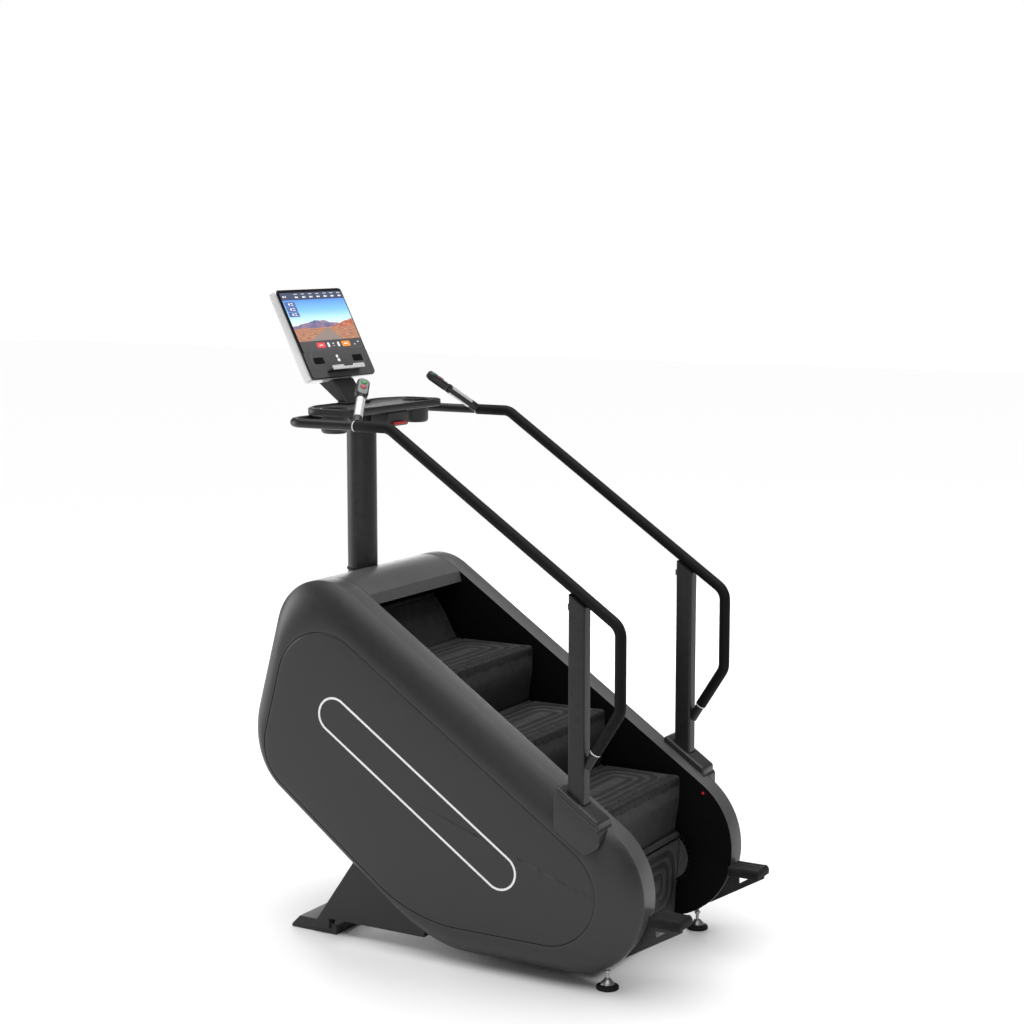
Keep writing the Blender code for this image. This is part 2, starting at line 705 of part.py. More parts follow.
def make_sprocket_shaft(name, axis, high_x):
    """A shaft across the machine with a sprocket at each end of the steps."""
    ends = PLATE_OUTER_X + 0.010
    shaft = bar(name, axis, SHAFT_RADIUS, -ends, high_x or ends)
    disc = CHAIN_RADIUS - CHAIN_HALF_THICKNESS - SPROCKET_CLEARANCE
    for side, low in (("left", -CHAIN_INNER_X - CHAIN_WIDTH), ("right", CHAIN_INNER_X)):
        join(shaft, bar(f"{name}_{side}_sprocket", axis, disc, low, low + CHAIN_WIDTH, sides=40))
    return shaft


def make_drive():
    drive = make_sprocket_shaft("drive_shaft", UPPER_AXIS, PULLEY_X + PULLEY_WIDTH + 0.002)
    join(drive, bar("drive_pulley", UPPER_AXIS, DRIVE_PULLEY_RADIUS, PULLEY_X, PULLEY_X + PULLEY_WIDTH, sides=40))
    finish(at(drive, (0, *UPPER_AXIS)), STEEL)
    finish(at(make_sprocket_shaft("idler_shaft", LOWER_AXIS, None), (0, *LOWER_AXIS)), STEEL)
    outer, inner = (round_two(UPPER_AXIS, CHAIN_RADIUS + side, LOWER_AXIS, CHAIN_RADIUS + side, 16)
                    for side in (CHAIN_HALF_THICKNESS, -CHAIN_HALF_THICKNESS))
    chain = prism("step_chain", [outer, inner], -CHAIN_INNER_X - CHAIN_WIDTH, -CHAIN_INNER_X)
    both(chain, "step_chain", STEEL)

    motor_high = PLATE_X - GAP
    motor = bar("drive_motor", MOTOR_AXIS, MOTOR_RADIUS, motor_high - MOTOR_LENGTH, motor_high)
    bore_depth = 0.030
    cut(motor, bar("motor_bore", MOTOR_AXIS, MOTOR_SHAFT_RADIUS + SHAFT_CLEARANCE, motor_high - bore_depth,
                   motor_high + 0.01, group=cutters))
    finish(motor, FRAME_BLACK)
    pulley = bar("motor_pulley", MOTOR_AXIS, MOTOR_PULLEY_RADIUS, PULLEY_X, PULLEY_X + PULLEY_WIDTH)
    join(pulley, bar("motor_spindle", MOTOR_AXIS, MOTOR_SHAFT_RADIUS, motor_high - bore_depth + 0.002,
                     PULLEY_X + PULLEY_WIDTH + 0.004))
    finish(at(pulley, (0, *MOTOR_AXIS)), STEEL)
    inside = round_two(UPPER_AXIS, DRIVE_PULLEY_RADIUS + BELT_CLEARANCE, MOTOR_AXIS,
                       MOTOR_PULLEY_RADIUS + BELT_CLEARANCE, 20)
    outside = round_two(UPPER_AXIS, DRIVE_PULLEY_RADIUS + BELT_THICKNESS, MOTOR_AXIS,
                        MOTOR_PULLEY_RADIUS + BELT_THICKNESS, 20)
    edge = 0.001
    belt = prism("drive_belt", [outside, inside], PULLEY_X + edge, PULLEY_X + PULLEY_WIDTH - edge)
    finish(belt, RUBBER_BLACK)


# ---------------------------------------------------------------- frame

TUBE_ENDS_X = PLATE_X - GAP
MIDDLE = (LOWER_AXIS + UPPER_AXIS) / 2
BEAM_LOW = Vector((COLUMN_Y - BEAM_DEPTH / 2, BEAM_TOP_Z - BEAM_HEIGHT))
BEAM_HIGH = Vector((COLUMN_Y + BEAM_DEPTH / 2, BEAM_TOP_Z))
CROSS_MEMBERS = (
    ("middle_tube", MIDDLE - Vector((TUBE, TUBE)) / 2, MIDDLE + Vector((TUBE, TUBE)) / 2),
    ("rear_tube", Vector((REAR_TUBE_Y, REAR_TUBE_Z)) - Vector((TUBE, TUBE)) / 2,
     Vector((REAR_TUBE_Y, REAR_TUBE_Z)) + Vector((TUBE, TUBE)) / 2),
    ("column_beam", BEAM_LOW, BEAM_HIGH),
)
LEG_LOW_X = -PLATE_OUTER_X - GAP - FRONT_LEG_WIDTH
LEG_HIGH_X = -PLATE_OUTER_X - GAP
LEG_SOLE_Y = FRONT_FOOT_REAR_Y + 0.100
LEG_OUTLINE = [Vector(spot) for spot in (
    (LEG_SOLE_Y - 0.075, 0.020), (LEG_SOLE_Y, 0.020), (LEG_SOLE_Y - 0.234, 0.360), (LEG_SOLE_Y - 0.375, 0.300),
    (LEG_SOLE_Y - 0.475, 0.160), (LEG_SOLE_Y - 0.475, 0.058), (LEG_SOLE_Y - 0.075, 0.058))]
GUSSET_OUTLINE = [Vector(spot) for spot in (
    (PEG_REAR_Y + 0.006, PEG_TOP_Z - PEG_THICKNESS - 0.010), (-0.066, 0.115), (-0.028, 0.098),
    (-0.028, PEG_TOP_Z - PEG_THICKNESS + 0.006), (PEG_REAR_Y + 0.006, PEG_TOP_Z - PEG_THICKNESS + 0.006))]
GUSSET_WINDOW = [Vector(spot) for spot in ((-0.204, 0.220), (-0.168, 0.197), (-0.168, 0.220))]


def make_side_plates():
    """Steel plates that carry the shafts, the posts and the feet, one inside each pod."""
    plate = prism("side_plate", [pod_outline(PLATE_INSET)], -PLATE_OUTER_X, -PLATE_X)
    bearing_out = PLATE_OUTER_X + 0.008
    for name, axis in (("upper", UPPER_AXIS), ("lower", LOWER_AXIS)):
        join(plate, bar(f"{name}_bearing", axis, BEARING_RADIUS, -bearing_out, -PLATE_X - 0.001))
    bracket_out = POST_X - POST_WIDTH / 2 - GAP
    bracket_half = POST_DEPTH / 2 - 0.002
    join(plate, block("post_bracket", (-bracket_out, POST_Y - bracket_half, POST_BOTTOM_Z + 0.010),
                      (-PLATE_X - 0.001, POST_Y + bracket_half, POST_BOTTOM_Z + 0.080)))
    foot_half = 0.026
    join(plate, block("foot_bracket", (-FOOT_X - foot_half, -foot_half, FOOT_TOP_Z + GAP),
                      (-PLATE_X - 0.001, foot_half, FOOT_TOP_Z + 0.040)))
    for axis in (UPPER_AXIS, LOWER_AXIS):
        cut(plate, bar("shaft_hole", axis, SHAFT_RADIUS + SHAFT_CLEARANCE, -bearing_out - 0.01, -PLATE_X + 0.01,
                       group=cutters))
    left, right = both(plate, "side_plate", FRAME_BLACK)
    cut(right, bar("motor_shaft_hole", MOTOR_AXIS, MOTOR_SHAFT_RADIUS + 0.003, PLATE_X - 0.01,
                   PLATE_OUTER_X + 0.01, group=cutters))


def make_cross_members():
    for name, low, high in CROSS_MEMBERS:
        item = block(name, (-TUBE_ENDS_X, *low), (TUBE_ENDS_X, *high))
        finish(bevel(item, 0.004), FRAME_BLACK)


def make_front_foot():
    """A bar across the floor with two sloping legs that bolt to the side plates."""
    low, high = FRONT_FOOT_REAR_Y, FRONT_FOOT_FRONT_Y
    top = FRONT_FOOT_HEIGHT
    profile = [Vector(spot) for spot in (
        (low, 0), (high, 0), (high, 0.010), (high - 0.035, top), (low + 0.030, top), (low, 0.030))]
    foot = prism("front_foot", [profile], -FRONT_FOOT_HALF_WIDTH, FRONT_FOOT_HALF_WIDTH)
    for side in (-1, 1):
        ends = sorted((side * -LEG_LOW_X, side * -LEG_HIGH_X))
        join(foot, prism("leg", [LEG_OUTLINE], *ends))
    finish(foot, FRAME_BLACK)


def make_levelling_feet():
    """A rubber pad, its cone, the threaded stud and the lock nut, turned in one."""
    stud, pad = FOOT_STUD_RADIUS, FOOT_PAD_RADIUS
    profile = [(0, FOOT_TOP_Z), (stud, FOOT_TOP_Z), (stud, 0.064), (0.010, 0.064), (0.010, 0.055), (stud, 0.055),
               (stud, 0.034), (0.011, 0.034), (0.014, 0.028), (0.030, 0.013), (pad, 0.010), (pad, 0), (0, 0)]
    both(turned("levelling_foot", profile, (-FOOT_X, 0)), "levelling_foot", RUBBER_BLACK)


def make_foot_pegs():
    """A pad at each rear corner to stand on, on a gusset plate from the side plate."""
    pad = block("foot_peg", (-PEG_X - PEG_WIDTH / 2, PEG_REAR_Y, PEG_TOP_Z - PEG_THICKNESS),
                (-PEG_X + PEG_WIDTH / 2, PEG_REAR_Y + PEG_LENGTH, PEG_TOP_Z))
    baked(bevel(pad, 0.004))
    cut(pad, prism("pod_space", [pod_outline(-0.001)], -SEAM_X, -WELL_HALF_WIDTH + 0.001, group=cutters))
    gusset = prism("gusset", [GUSSET_OUTLINE, GUSSET_WINDOW], LEG_HIGH_X - GUSSET_THICKNESS, LEG_HIGH_X)
    both(join(pad, gusset), "foot_peg", FRAME_BLACK)


# ---------------------------------------------------------------- pods

def ring_at(x, outline):
    return [(-x, spot.x, spot.y) for spot in outline]


def blended(outline, other, share):
    return [here.lerp(there, share) for here, there in zip(outline, other)]


def boot_outline(grow=0.0):
    """A boot in side view: a collar that follows the pod's slope, and a pocket below it."""
    top = pod_lines()[0]
    front, rear = POST_Y + BOOT_FRONT + grow, POST_Y - BOOT_REAR - grow
    low_y = POST_Y - 0.0525
    corners = [on_station(top, front) + Vector((0, BOOT_COLLAR + grow)),
               on_station(top, rear) + Vector((0, BOOT_COLLAR + grow)),
               on_station(top, rear) + Vector((0, -BOOT_DEPTH * 0.42)),
               on_station(top, low_y) + Vector((0, -BOOT_DEPTH - grow)),
               on_station(top, front) + Vector((0, -BOOT_DEPTH - 0.005 - grow))]
    return rounded(corners, (0.012, 0.018, 0.030, 0.030, 0.020), 4)


def make_boot_cutter(x_grow):
    return prism("boot_space", [boot_outline(0.0004)], -BOOT_OUTER_X - x_grow, -BOOT_INNER_X + x_grow,
                 group=cutters)


def make_liners():
    """The flat band along the well and the well's inner wall, moulded in one, open on the pod's side."""
    seam = SEAM_X - GAP
    rows = [ring_at(WELL_HALF_WIDTH, pod_outline()), ring_at(seam, pod_outline()),
            ring_at(seam, pod_outline(WALL)), ring_at(WELL_HALF_WIDTH + WALL, pod_outline(WALL))]
    liner = loft("side_liner", rows, capped=True)
    for name, axis in (("upper", UPPER_AXIS), ("lower", LOWER_AXIS)):
        cut(liner, bar(f"{name}_shaft_space", axis, SHAFT_HOLE_IN_WALL, WALL_CUT_OUT, WALL_CUT_IN, group=cutters))
    room = Vector((WALL_CUT_CLEARANCE, WALL_CUT_CLEARANCE))
    for name, low, high in CROSS_MEMBERS:
        cut(liner, block(f"{name}_space", (WALL_CUT_OUT, *(low - room)), (WALL_CUT_IN, *(high + room)), group=cutters))
    cut(liner, prism("leg_space", [grown(LEG_OUTLINE, 0.002)], LEG_LOW_X - 0.002, LEG_HIGH_X + 0.002,
                     group=cutters))
    cut(liner, prism("gusset_space", [grown(GUSSET_OUTLINE, 0.002)],
                     LEG_HIGH_X - GUSSET_THICKNESS - 0.0015, LEG_HIGH_X + 0.0015, group=cutters))
    cut(liner, post_bar("stud_space", (-FOOT_X, 0), FOOT_STUD_RADIUS + 0.005, 0.030, 0.115, group=cutters))
    cut(liner, make_boot_cutter(GAP))
    left, right = both(liner, "side_liner", BAND_GREY)
    cut(right, bar("motor_space", MOTOR_AXIS, MOTOR_RADIUS + 0.003, -WALL_CUT_IN, -WALL_CUT_OUT, group=cutters))


def make_shells():
    """The outer shell: it rolls from the seam round to the inset panel, and is open on the well's side."""
    rim = panel_outline(PANEL_GROOVE)
    rows, turns = [], 4
    for inset, order in ((0, range(turns + 1)), (WALL, range(turns, -1, -1))):
        for i in order:
            a = SHELL_START + (math.pi / 2 - SHELL_START) * i / turns
            out = (math.sin(a) - math.sin(SHELL_START)) / (1 - math.sin(SHELL_START))
            across = (math.cos(SHELL_START) - math.cos(a)) / math.cos(SHELL_START)
            x = SEAM_X + (POD_SIDE_X - inset - SEAM_X) * out
            rows.append(ring_at(x, blended(pod_outline(inset), rim, across)))
    shell = loft("side_shell", rows, capped=False)
    cut(shell, make_boot_cutter(GAP))
    both(smooth(shell), "side_shell", SHELL_GREY)


def make_panels():
    """The inset panel: a slightly crowned plate in the shell's opening."""
    rows = [ring_at(POD_SIDE_X - WALL, panel_outline()), ring_at(POD_SIDE_X, panel_outline()),
            ring_at(POD_SIDE_X + PANEL_CROWN * 0.6, panel_outline(-0.03)),
            ring_at(POD_SIDE_X + PANEL_CROWN, panel_outline(-0.08))]
    both(smooth(loft("side_panel", rows, capped=True)), "side_panel", PANEL_GREY)


def make_boots():
    boot = prism("post_boot", [boot_outline()], -BOOT_OUTER_X, -BOOT_INNER_X)
    baked(bevel(boot, 0.006, 2))
    room = 0.0004
    cut(boot, block("post_space", (-POST_X - POST_WIDTH / 2 - room, POST_Y - POST_DEPTH / 2 - room, POST_BOTTOM_Z + 0.04),
                    (-POST_X + POST_WIDTH / 2 + room, POST_Y + POST_DEPTH / 2 + room, POST_BOTTOM_Z + 0.54), group=cutters))
    both(boot, "post_boot", SHELL_GREY)


def cover_strip(corners, inner_corners, radii, steps=8):
    """The side view of a bent sheet: an outer path and, a wall inside it, the path back."""
    outer, inner = [], []
    for path, store, cut_radius in ((corners, outer, 0), (inner_corners, inner, COVER_WALL)):
        store.append(path[0])
        for before, corner, after, radius in zip(path, path[1:], path[2:], radii):
            store.extend(fillet(before, corner, after, radius - cut_radius, steps) if radius else [corner])
        store.append(path[-1])
    return outer + inner[::-1]


def make_covers():
    """Two bent sheets between the liners: over the top, and down the front and under the belly."""
    width = WELL_HALF_WIDTH - GAP
    sides = []
    for inset in (0, COVER_WALL):
        top, rear, bottom, belly, front = [(spot + Vector((-way.y, way.x)) * inset, way)
                                           for spot, way in pod_lines()]
        fold = on_station(top, COVER_LIP_Y + inset)
        lip = fold + Vector((-0.009, -COVER_LIP_DROP + inset))
        over = [lip, fold, meet(*top, *front), on_level(front, COVER_SPLIT_Z + GAP)]
        under = [on_level(front, COVER_SPLIT_Z), meet(*front, *belly), meet(*belly, *bottom),
                 on_station(bottom, LOWER_COVER_START_Y)]
        sides.append((over, under))
    (over, under), (over_in, under_in) = sides
    top_cover = prism("top_cover", [cover_strip(over, over_in, (0, POD_RADII[4]))], -width, width)
    cut(top_cover, post_bar("column_space", (0, COLUMN_Y), COLUMN_RADIUS + 0.0005, BEAM_TOP_Z - 0.1,
                             BEAM_TOP_Z + 0.2, group=cutters))
    finish(top_cover, COVER_GREY)
    lower = prism("lower_cover", [cover_strip(under, under_in, (POD_RADII[3], POD_RADII[2]))], -width, width)
    finish(lower, SHELL_GREY)


# ---------------------------------------------------------------- posts and rails

RAIL_SLOPE = math.tan(STEP_ANGLE)
RAIL_REAR_Z = RAIL_TOP_Z - (RAIL_KNEE_Y - RAIL_REAR_Y) * RAIL_SLOPE
RAIL_LOWER_BEND_Z = RAIL_REAR_Z - RAIL_RETURN_LENGTH
RAIL_END_Y = POST_Y - POST_DEPTH / 2 - GAP - RAIL_RADIUS * math.sin(RAIL_RETURN_ANGLE)
RAIL_END_Z = RAIL_LOWER_BEND_Z - (RAIL_END_Y - RAIL_REAR_Y) * math.tan(RAIL_RETURN_ANGLE)
RAIL_LOWER_BENDS = [Vector((-POST_X, *spot)) for spot in (
    (RAIL_KNEE_Y, RAIL_TOP_Z), (RAIL_REAR_Y, RAIL_REAR_Z), (RAIL_REAR_Y, RAIL_LOWER_BEND_Z))]
RAIL_END = Vector((-POST_X, RAIL_END_Y, RAIL_END_Z))


def make_posts():
    reach = (SLEEVE_RADIUS + GAP) / math.cos(STEP_ANGLE)
    low, high = POST_Y - POST_DEPTH / 2, POST_Y + POST_DEPTH / 2
    outline = [Vector((low, POST_BOTTOM_Z)), Vector((high, POST_BOTTOM_Z))]
    for y in (high, low):
        outline.append(Vector((y, RAIL_TOP_Z - (RAIL_KNEE_Y - y) * RAIL_SLOPE - reach - 0.001)))
    post = prism("post", [outline], -POST_X - POST_WIDTH / 2, -POST_X + POST_WIDTH / 2)
    both(bevel(post, 0.007, 2), "post", POST_GREY)


def make_handrails():
    """Each rail is one bent tube, from the column round to the post's rear face."""
    corners = [Vector((-0.010, RAIL_FRONT_Y, RAIL_TOP_Z)), Vector((-POST_X, RAIL_FRONT_Y, RAIL_TOP_Z))]
    corners += RAIL_LOWER_BENDS + [RAIL_END]
    rail = tube("handrail", rounded_path(corners, RAIL_CORNER_RADIUS, 4), RAIL_RADIUS)
    cut(rail, post_bar("column_in_rail", (0, COLUMN_Y), COLUMN_RADIUS + GAP, RAIL_TOP_Z - 0.1,
                       RAIL_TOP_Z + 0.1, group=cutters))
    both(smooth(rail, 50), "handrail", POST_GREY)


def make_sleeves():
    """A rubber sleeve over each rail, from the grip down and round to just above the post."""
    away = (RAIL_END - RAIL_LOWER_BENDS[-1]).normalized()
    foot = RAIL_END - away * SLEEVE_LOWER_CUT
    head = Vector((-POST_X, SLEEVE_UPPER_Y, RAIL_TOP_Z))
    spare = 0.02
    solid = tube("rail_sleeve", rounded_path([head] + RAIL_LOWER_BENDS + [foot], RAIL_CORNER_RADIUS, 4),
                 SLEEVE_RADIUS)
    core_ends = (head + Vector((0, spare, 0)), foot + away * spare)
    core = tube("sleeve_core", rounded_path([core_ends[0]] + RAIL_LOWER_BENDS + [core_ends[1]],
                                            RAIL_CORNER_RADIUS, 4), RAIL_RADIUS + SLEEVE_CLEARANCE, group=cutters)
    both(smooth(cut(solid, core), 50), "rail_sleeve", RUBBER_BLACK)


# ---------------------------------------------------------------- grips and their buttons

GRIP_BASE = Vector((-POST_X, GRIP_BASE_Y, RAIL_TOP_Z))
GRIP_TIP = Vector((-GRIP_TIP_X, GRIP_TIP_Y, GRIP_TIP_Z))
GRIP_WAY = (GRIP_TIP - GRIP_BASE).normalized()
GRIP_SEEN_FROM = Vector((-0.28, -0.55, 0.78))     # the side that the button face looks towards
GRIP_FACE = (GRIP_SEEN_FROM - GRIP_WAY * GRIP_SEEN_FROM.dot(GRIP_WAY)).normalized()
GRIP_SIDE = GRIP_FACE.cross(GRIP_WAY)
HEAD_CENTRE = GRIP_TIP - GRIP_WAY * GRIP_HEAD_LENGTH / 2


def grip_matrix(centre):
    """Places a piece made about the centre: X across the head, Y out of its back, Z along the grip."""
    turn = Matrix((-GRIP_SIDE, -GRIP_FACE, GRIP_WAY)).transposed().to_4x4()
    return Matrix.Translation(centre) @ turn


def make_grips():
    head = block("grip_head", (-GRIP_HEAD_WIDTH / 2, -GRIP_HEAD_DEPTH / 2, -GRIP_HEAD_LENGTH / 2),
                 (GRIP_HEAD_WIDTH / 2, GRIP_HEAD_DEPTH / 2, GRIP_HEAD_LENGTH / 2))
    baked(bevel(head, 0.009, 3))
    head.data.transform(grip_matrix(HEAD_CENTRE))
    grip = tube("grip", [GRIP_BASE, HEAD_CENTRE], GRIP_RADIUS)
    join(grip, head)
    reach = 0.05
    cut(grip, tube("rail_in_grip", [GRIP_BASE + Vector((0, -reach, 0)), GRIP_BASE + Vector((0, reach, 0))],
                   SLEEVE_RADIUS + 2 * GAP, resolution=6, group=cutters))
    face = HEAD_CENTRE + GRIP_FACE * GRIP_HEAD_DEPTH / 2
    pocket_depth = BUTTON_HEIGHT
    buttons = []
    for name, along, look in (("green_button", BUTTON_SPACING / 2, BUTTON_GREEN),
                              ("red_button", -BUTTON_SPACING / 2, BUTTON_RED)):
        centre = face + GRIP_WAY * (along + 0.008)
        for label, radius, low, high, group in (
                (f"{name}_pocket", BUTTON_RADIUS + BUTTON_CLEARANCE, -pocket_depth, 0.01, cutters),
                (name, BUTTON_RADIUS, -pocket_depth + BUTTON_TRAVEL + GAP, BUTTON_TRAVEL + 0.001, machine)):
            form = bmesh.new()
            spin = Matrix.Rotation(math.pi / 2, 4, "X")
            bmesh.ops.create_cone(form, cap_ends=True, segments=24, radius1=radius, radius2=radius,
                                  depth=high - low, matrix=Matrix.Translation((0, -(low + high) / 2, 0)) @ spin)
            item = from_bmesh(label, form, group)
            item.data.transform(grip_matrix(centre))
            if group is cutters:
                cut(grip, item)
            else:
                buttons.append((item, name, look, centre))
    both(grip, "grip", MOULDED_BLACK)
    for item, name, look, centre in buttons:
        left, right = both(item, name, look)
        at(left, centre)
        at(right, (-centre.x, centre.y, centre.z))


# ---------------------------------------------------------------- column, tray and console

def slab(name, outlines, low_z, high_z):
    """A flat outline in plan, given its height."""
    curve = bpy.data.curves.new(name, "CURVE")
    curve.dimensions = "2D"
    curve.fill_mode = "BOTH"
    curve.extrude = (high_z - low_z) / 2
    for outline in outlines:
        spline = curve.splines.new("POLY")
        spline.points.add(len(outline) - 1)
        for point, spot in zip(spline.points, outline):
            point.co = (spot[0], spot[1], 0, 1)
        spline.use_cyclic_u = True
    item = bpy.data.objects.new(name, curve)
    machine.objects.link(item)
    item.location = (0, 0, (low_z + high_z) / 2)
    return welded(item)


def make_column():
    column = post_bar("column", (0, COLUMN_Y), COLUMN_RADIUS, BEAM_TOP_Z + GAP, TRAY_BOTTOM_Z - GAP, sides=40)
    finish(smooth(column), POST_GREY)


def make_tray():
    """A flat tray with a cup holder at each end."""
    shoulder_y, shoulder_x = TRAY_FRONT_Y - 0.050, TRAY_HALF_WIDTH * 0.68
    corners = [Vector(spot) for spot in (
        (-TRAY_HALF_WIDTH, TRAY_REAR_Y), (TRAY_HALF_WIDTH, TRAY_REAR_Y), (TRAY_HALF_WIDTH, shoulder_y),
        (shoulder_x, TRAY_FRONT_Y), (-shoulder_x, TRAY_FRONT_Y), (-TRAY_HALF_WIDTH, shoulder_y))]
    tray = slab("tray", [rounded(corners, (0.055, 0.055, 0.065, 0.10, 0.10, 0.065), 5)], TRAY_BOTTOM_Z,
                TRAY_BOTTOM_Z + TRAY_THICKNESS)
    baked(bevel(tray, 0.006, 2, 60))
    for side in (-1, 1):
        join(tray, post_bar("cup", (side * CUP_X, CUP_Y), CUP_RADIUS, CUP_BOTTOM_Z, TRAY_BOTTOM_Z + 0.01))
    for side in (-1, 1):
        cut(tray, post_bar("cup_space", (side * CUP_X, CUP_Y), CUP_RADIUS - CUP_WALL,
                           CUP_BOTTOM_Z + CUP_WALL, TRAY_BOTTOM_Z + 0.16, group=cutters))
    finish(tray, MOULDED_BLACK)


def make_stop():
    """A box under the tray, and the red stop bar that is pushed into it."""
    width, depth, height = STOP_BOX
    high = TRAY_BOTTOM_Z - GAP
    box = block("stop_box", (-width / 2, STOP_BOX_REAR_Y, high - height),
                (width / 2, STOP_BOX_REAR_Y + depth, high))
    baked(bevel(box, 0.004))
    pull_width, pull_depth, pull_height = STOP_PULL
    low = high - height + 0.007
    room = 0.0006
    cut(box, block("pull_slot", (-pull_width / 2 - room, STOP_BOX_REAR_Y - 0.01, low - room),
                   (pull_width / 2 + room, STOP_BOX_REAR_Y + pull_depth - STOP_PULL_OUT + STOP_TRAVEL + 0.001,
                    low + pull_height + room), group=cutters))
    finish(box, MOULDED_BLACK)
    rear = STOP_BOX_REAR_Y - STOP_PULL_OUT
    pull = block("stop_pull", (-pull_width / 2, rear, low), (pull_width / 2, rear + pull_depth, low + pull_height))
    finish(at(bevel(pull, 0.002), (0, rear, low)), BUTTON_RED)


def console_point(up, back):
    """A point of the console in side view: up its face from the low edge, and back through it."""
    face_up = Vector((math.sin(CONSOLE_TILT), math.cos(CONSOLE_TILT)))
    face_back = Vector((math.cos(CONSOLE_TILT), -math.sin(CONSOLE_TILT)))
    return Vector((CONSOLE_LOW_Y, CONSOLE_LOW_Z)) + face_up * up + face_back * back


def tilted(name, low, high):
    """A box in the console's own frame: X across, Y back from its face, Z up its face."""
    item = block(name, low, high)
    item.rotation_euler = (-CONSOLE_TILT, 0, 0)
    item.location = (0, CONSOLE_LOW_Y, CONSOLE_LOW_Z)
    return item


def make_console():
    width, height = CONSOLE_HALF_WIDTH, CONSOLE_HEIGHT
    housing = tilted("console_housing", (-width, SCREEN_THICKNESS + GAP, 0), (width, CONSOLE_DEPTH, height))
    finish(bevel(housing, 0.012, 3), SILVER)
    edge = 0.003
    screen = tilted("screen_panel", (-width + edge, 0, edge), (width - edge, SCREEN_THICKNESS, height - edge))
    finish(bevel(screen, 0.002), SCREEN_BLACK)
    ledge_low = 0.020
    ledge = tilted("tablet_ledge", (-LEDGE_HALF_WIDTH, -LEDGE_DEPTH, ledge_low),
                   (LEDGE_HALF_WIDTH, -GAP, ledge_low + LEDGE_HEIGHT))
    finish(bevel(ledge, 0.003), LEDGE_WHITE)
    tray_top = TRAY_BOTTOM_Z + TRAY_THICKNESS + GAP
    back = CONSOLE_DEPTH + GAP
    outline = [Vector((COLUMN_Y - 0.012, tray_top)), Vector((TRAY_FRONT_Y - 0.010, tray_top)),
               console_point(0.050, back + 0.050), console_point(0.110, back),
               console_point(0.013, back), console_point(-0.004, back - 0.004)]
    neck = prism("console_neck", [outline], -NECK_HALF_WIDTH, NECK_HALF_WIDTH)
    finish(bevel(neck, 0.003), MOULDED_BLACK)


def make_power_inlet():
    """The socket block under the sloping front, near the foot."""
    half_width, half_length, depth = 0.030, 0.022, 0.012
    spot, way = pod_lines()[3]
    item = block("power_inlet", (-half_width, -half_length, -depth), (half_width, half_length, -GAP))
    centre = spot + way * 0.46
    item.rotation_euler = (BELLY_ANGLE, 0, 0)
    item.location = (0, centre.x, centre.y)
    finish(bevel(item, 0.002), MOULDED_BLACK)


# ---------------------------------------------------------------- assembly

def centre_the_machine():
    """Moves the machine's empty so that the world's origin lies under the middle of its box."""
    bpy.context.view_layer.update()
    graph = bpy.context.evaluated_depsgraph_get()
    spots = []
    for item in machine.objects:
        if item.type == "MESH":
            seen = item.evaluated_get(graph)
            spots += [seen.matrix_world @ vertex.co for vertex in seen.data.vertices]
    middle = [(min(s[i] for s in spots) + max(s[i] for s in spots)) / 2 for i in (0, 1)]
    origin.location = (-middle[0], -middle[1], -min(s.z for s in spots))
    bpy.context.view_layer.update()


make_steps()
make_drive()
make_side_plates()
make_cross_members()
make_front_foot()
make_levelling_feet()
make_foot_pegs()
make_liners()
make_shells()
make_panels()
make_boots()
make_covers()
make_posts()
make_handrails()
make_sleeves()
make_grips()
make_column()
make_tray()
make_stop()
make_console()
make_power_inlet()
centre_the_machine()
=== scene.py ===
import math

import bmesh
import bpy
from mathutils import Matrix, Vector


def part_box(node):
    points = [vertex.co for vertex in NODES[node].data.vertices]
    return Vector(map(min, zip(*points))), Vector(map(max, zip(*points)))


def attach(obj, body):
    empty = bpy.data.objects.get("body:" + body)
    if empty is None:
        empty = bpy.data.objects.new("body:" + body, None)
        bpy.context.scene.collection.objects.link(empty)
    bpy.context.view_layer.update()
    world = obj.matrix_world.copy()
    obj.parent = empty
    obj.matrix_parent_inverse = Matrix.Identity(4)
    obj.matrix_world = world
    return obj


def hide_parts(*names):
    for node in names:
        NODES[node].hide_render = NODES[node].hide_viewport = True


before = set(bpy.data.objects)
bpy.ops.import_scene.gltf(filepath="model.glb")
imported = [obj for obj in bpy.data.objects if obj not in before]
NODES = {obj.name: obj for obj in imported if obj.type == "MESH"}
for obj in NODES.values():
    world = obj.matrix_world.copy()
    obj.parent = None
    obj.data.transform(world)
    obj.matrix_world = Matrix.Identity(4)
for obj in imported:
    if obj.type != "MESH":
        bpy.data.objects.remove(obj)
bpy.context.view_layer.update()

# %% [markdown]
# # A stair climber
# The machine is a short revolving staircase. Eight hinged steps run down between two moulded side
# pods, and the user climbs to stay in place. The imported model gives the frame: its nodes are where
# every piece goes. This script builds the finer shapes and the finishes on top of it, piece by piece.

print("pieces in the frame:", len(NODES))

# %% [markdown]
# ## Where things are
# The machine is laid out from its rear levelling feet, with Y forward and Z up, because the steps,
# rails and pods all start there. The frame's origin lies under the middle of the whole machine, so
# one shift, read from a foot's box, moves every finished mesh into place.

# %% Lengths that the pieces share
foot_low, foot_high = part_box("levelling_foot_left")
SHIFT = Vector((0, (foot_low.y + foot_high.y) / 2, 0))

STEP_RISE, STEP_RUN, STEP_COUNT = 0.203, 0.298, 8
STEP_HALF_WIDTH = 0.272
BARREL = 0.011
TREAD_THICKNESS = 0.018
RISER_THICKNESS, RISER_BOW = 0.008, 0.015
CHAIN_RADIUS = 0.095
CHAIN_PHASE = 0.0127

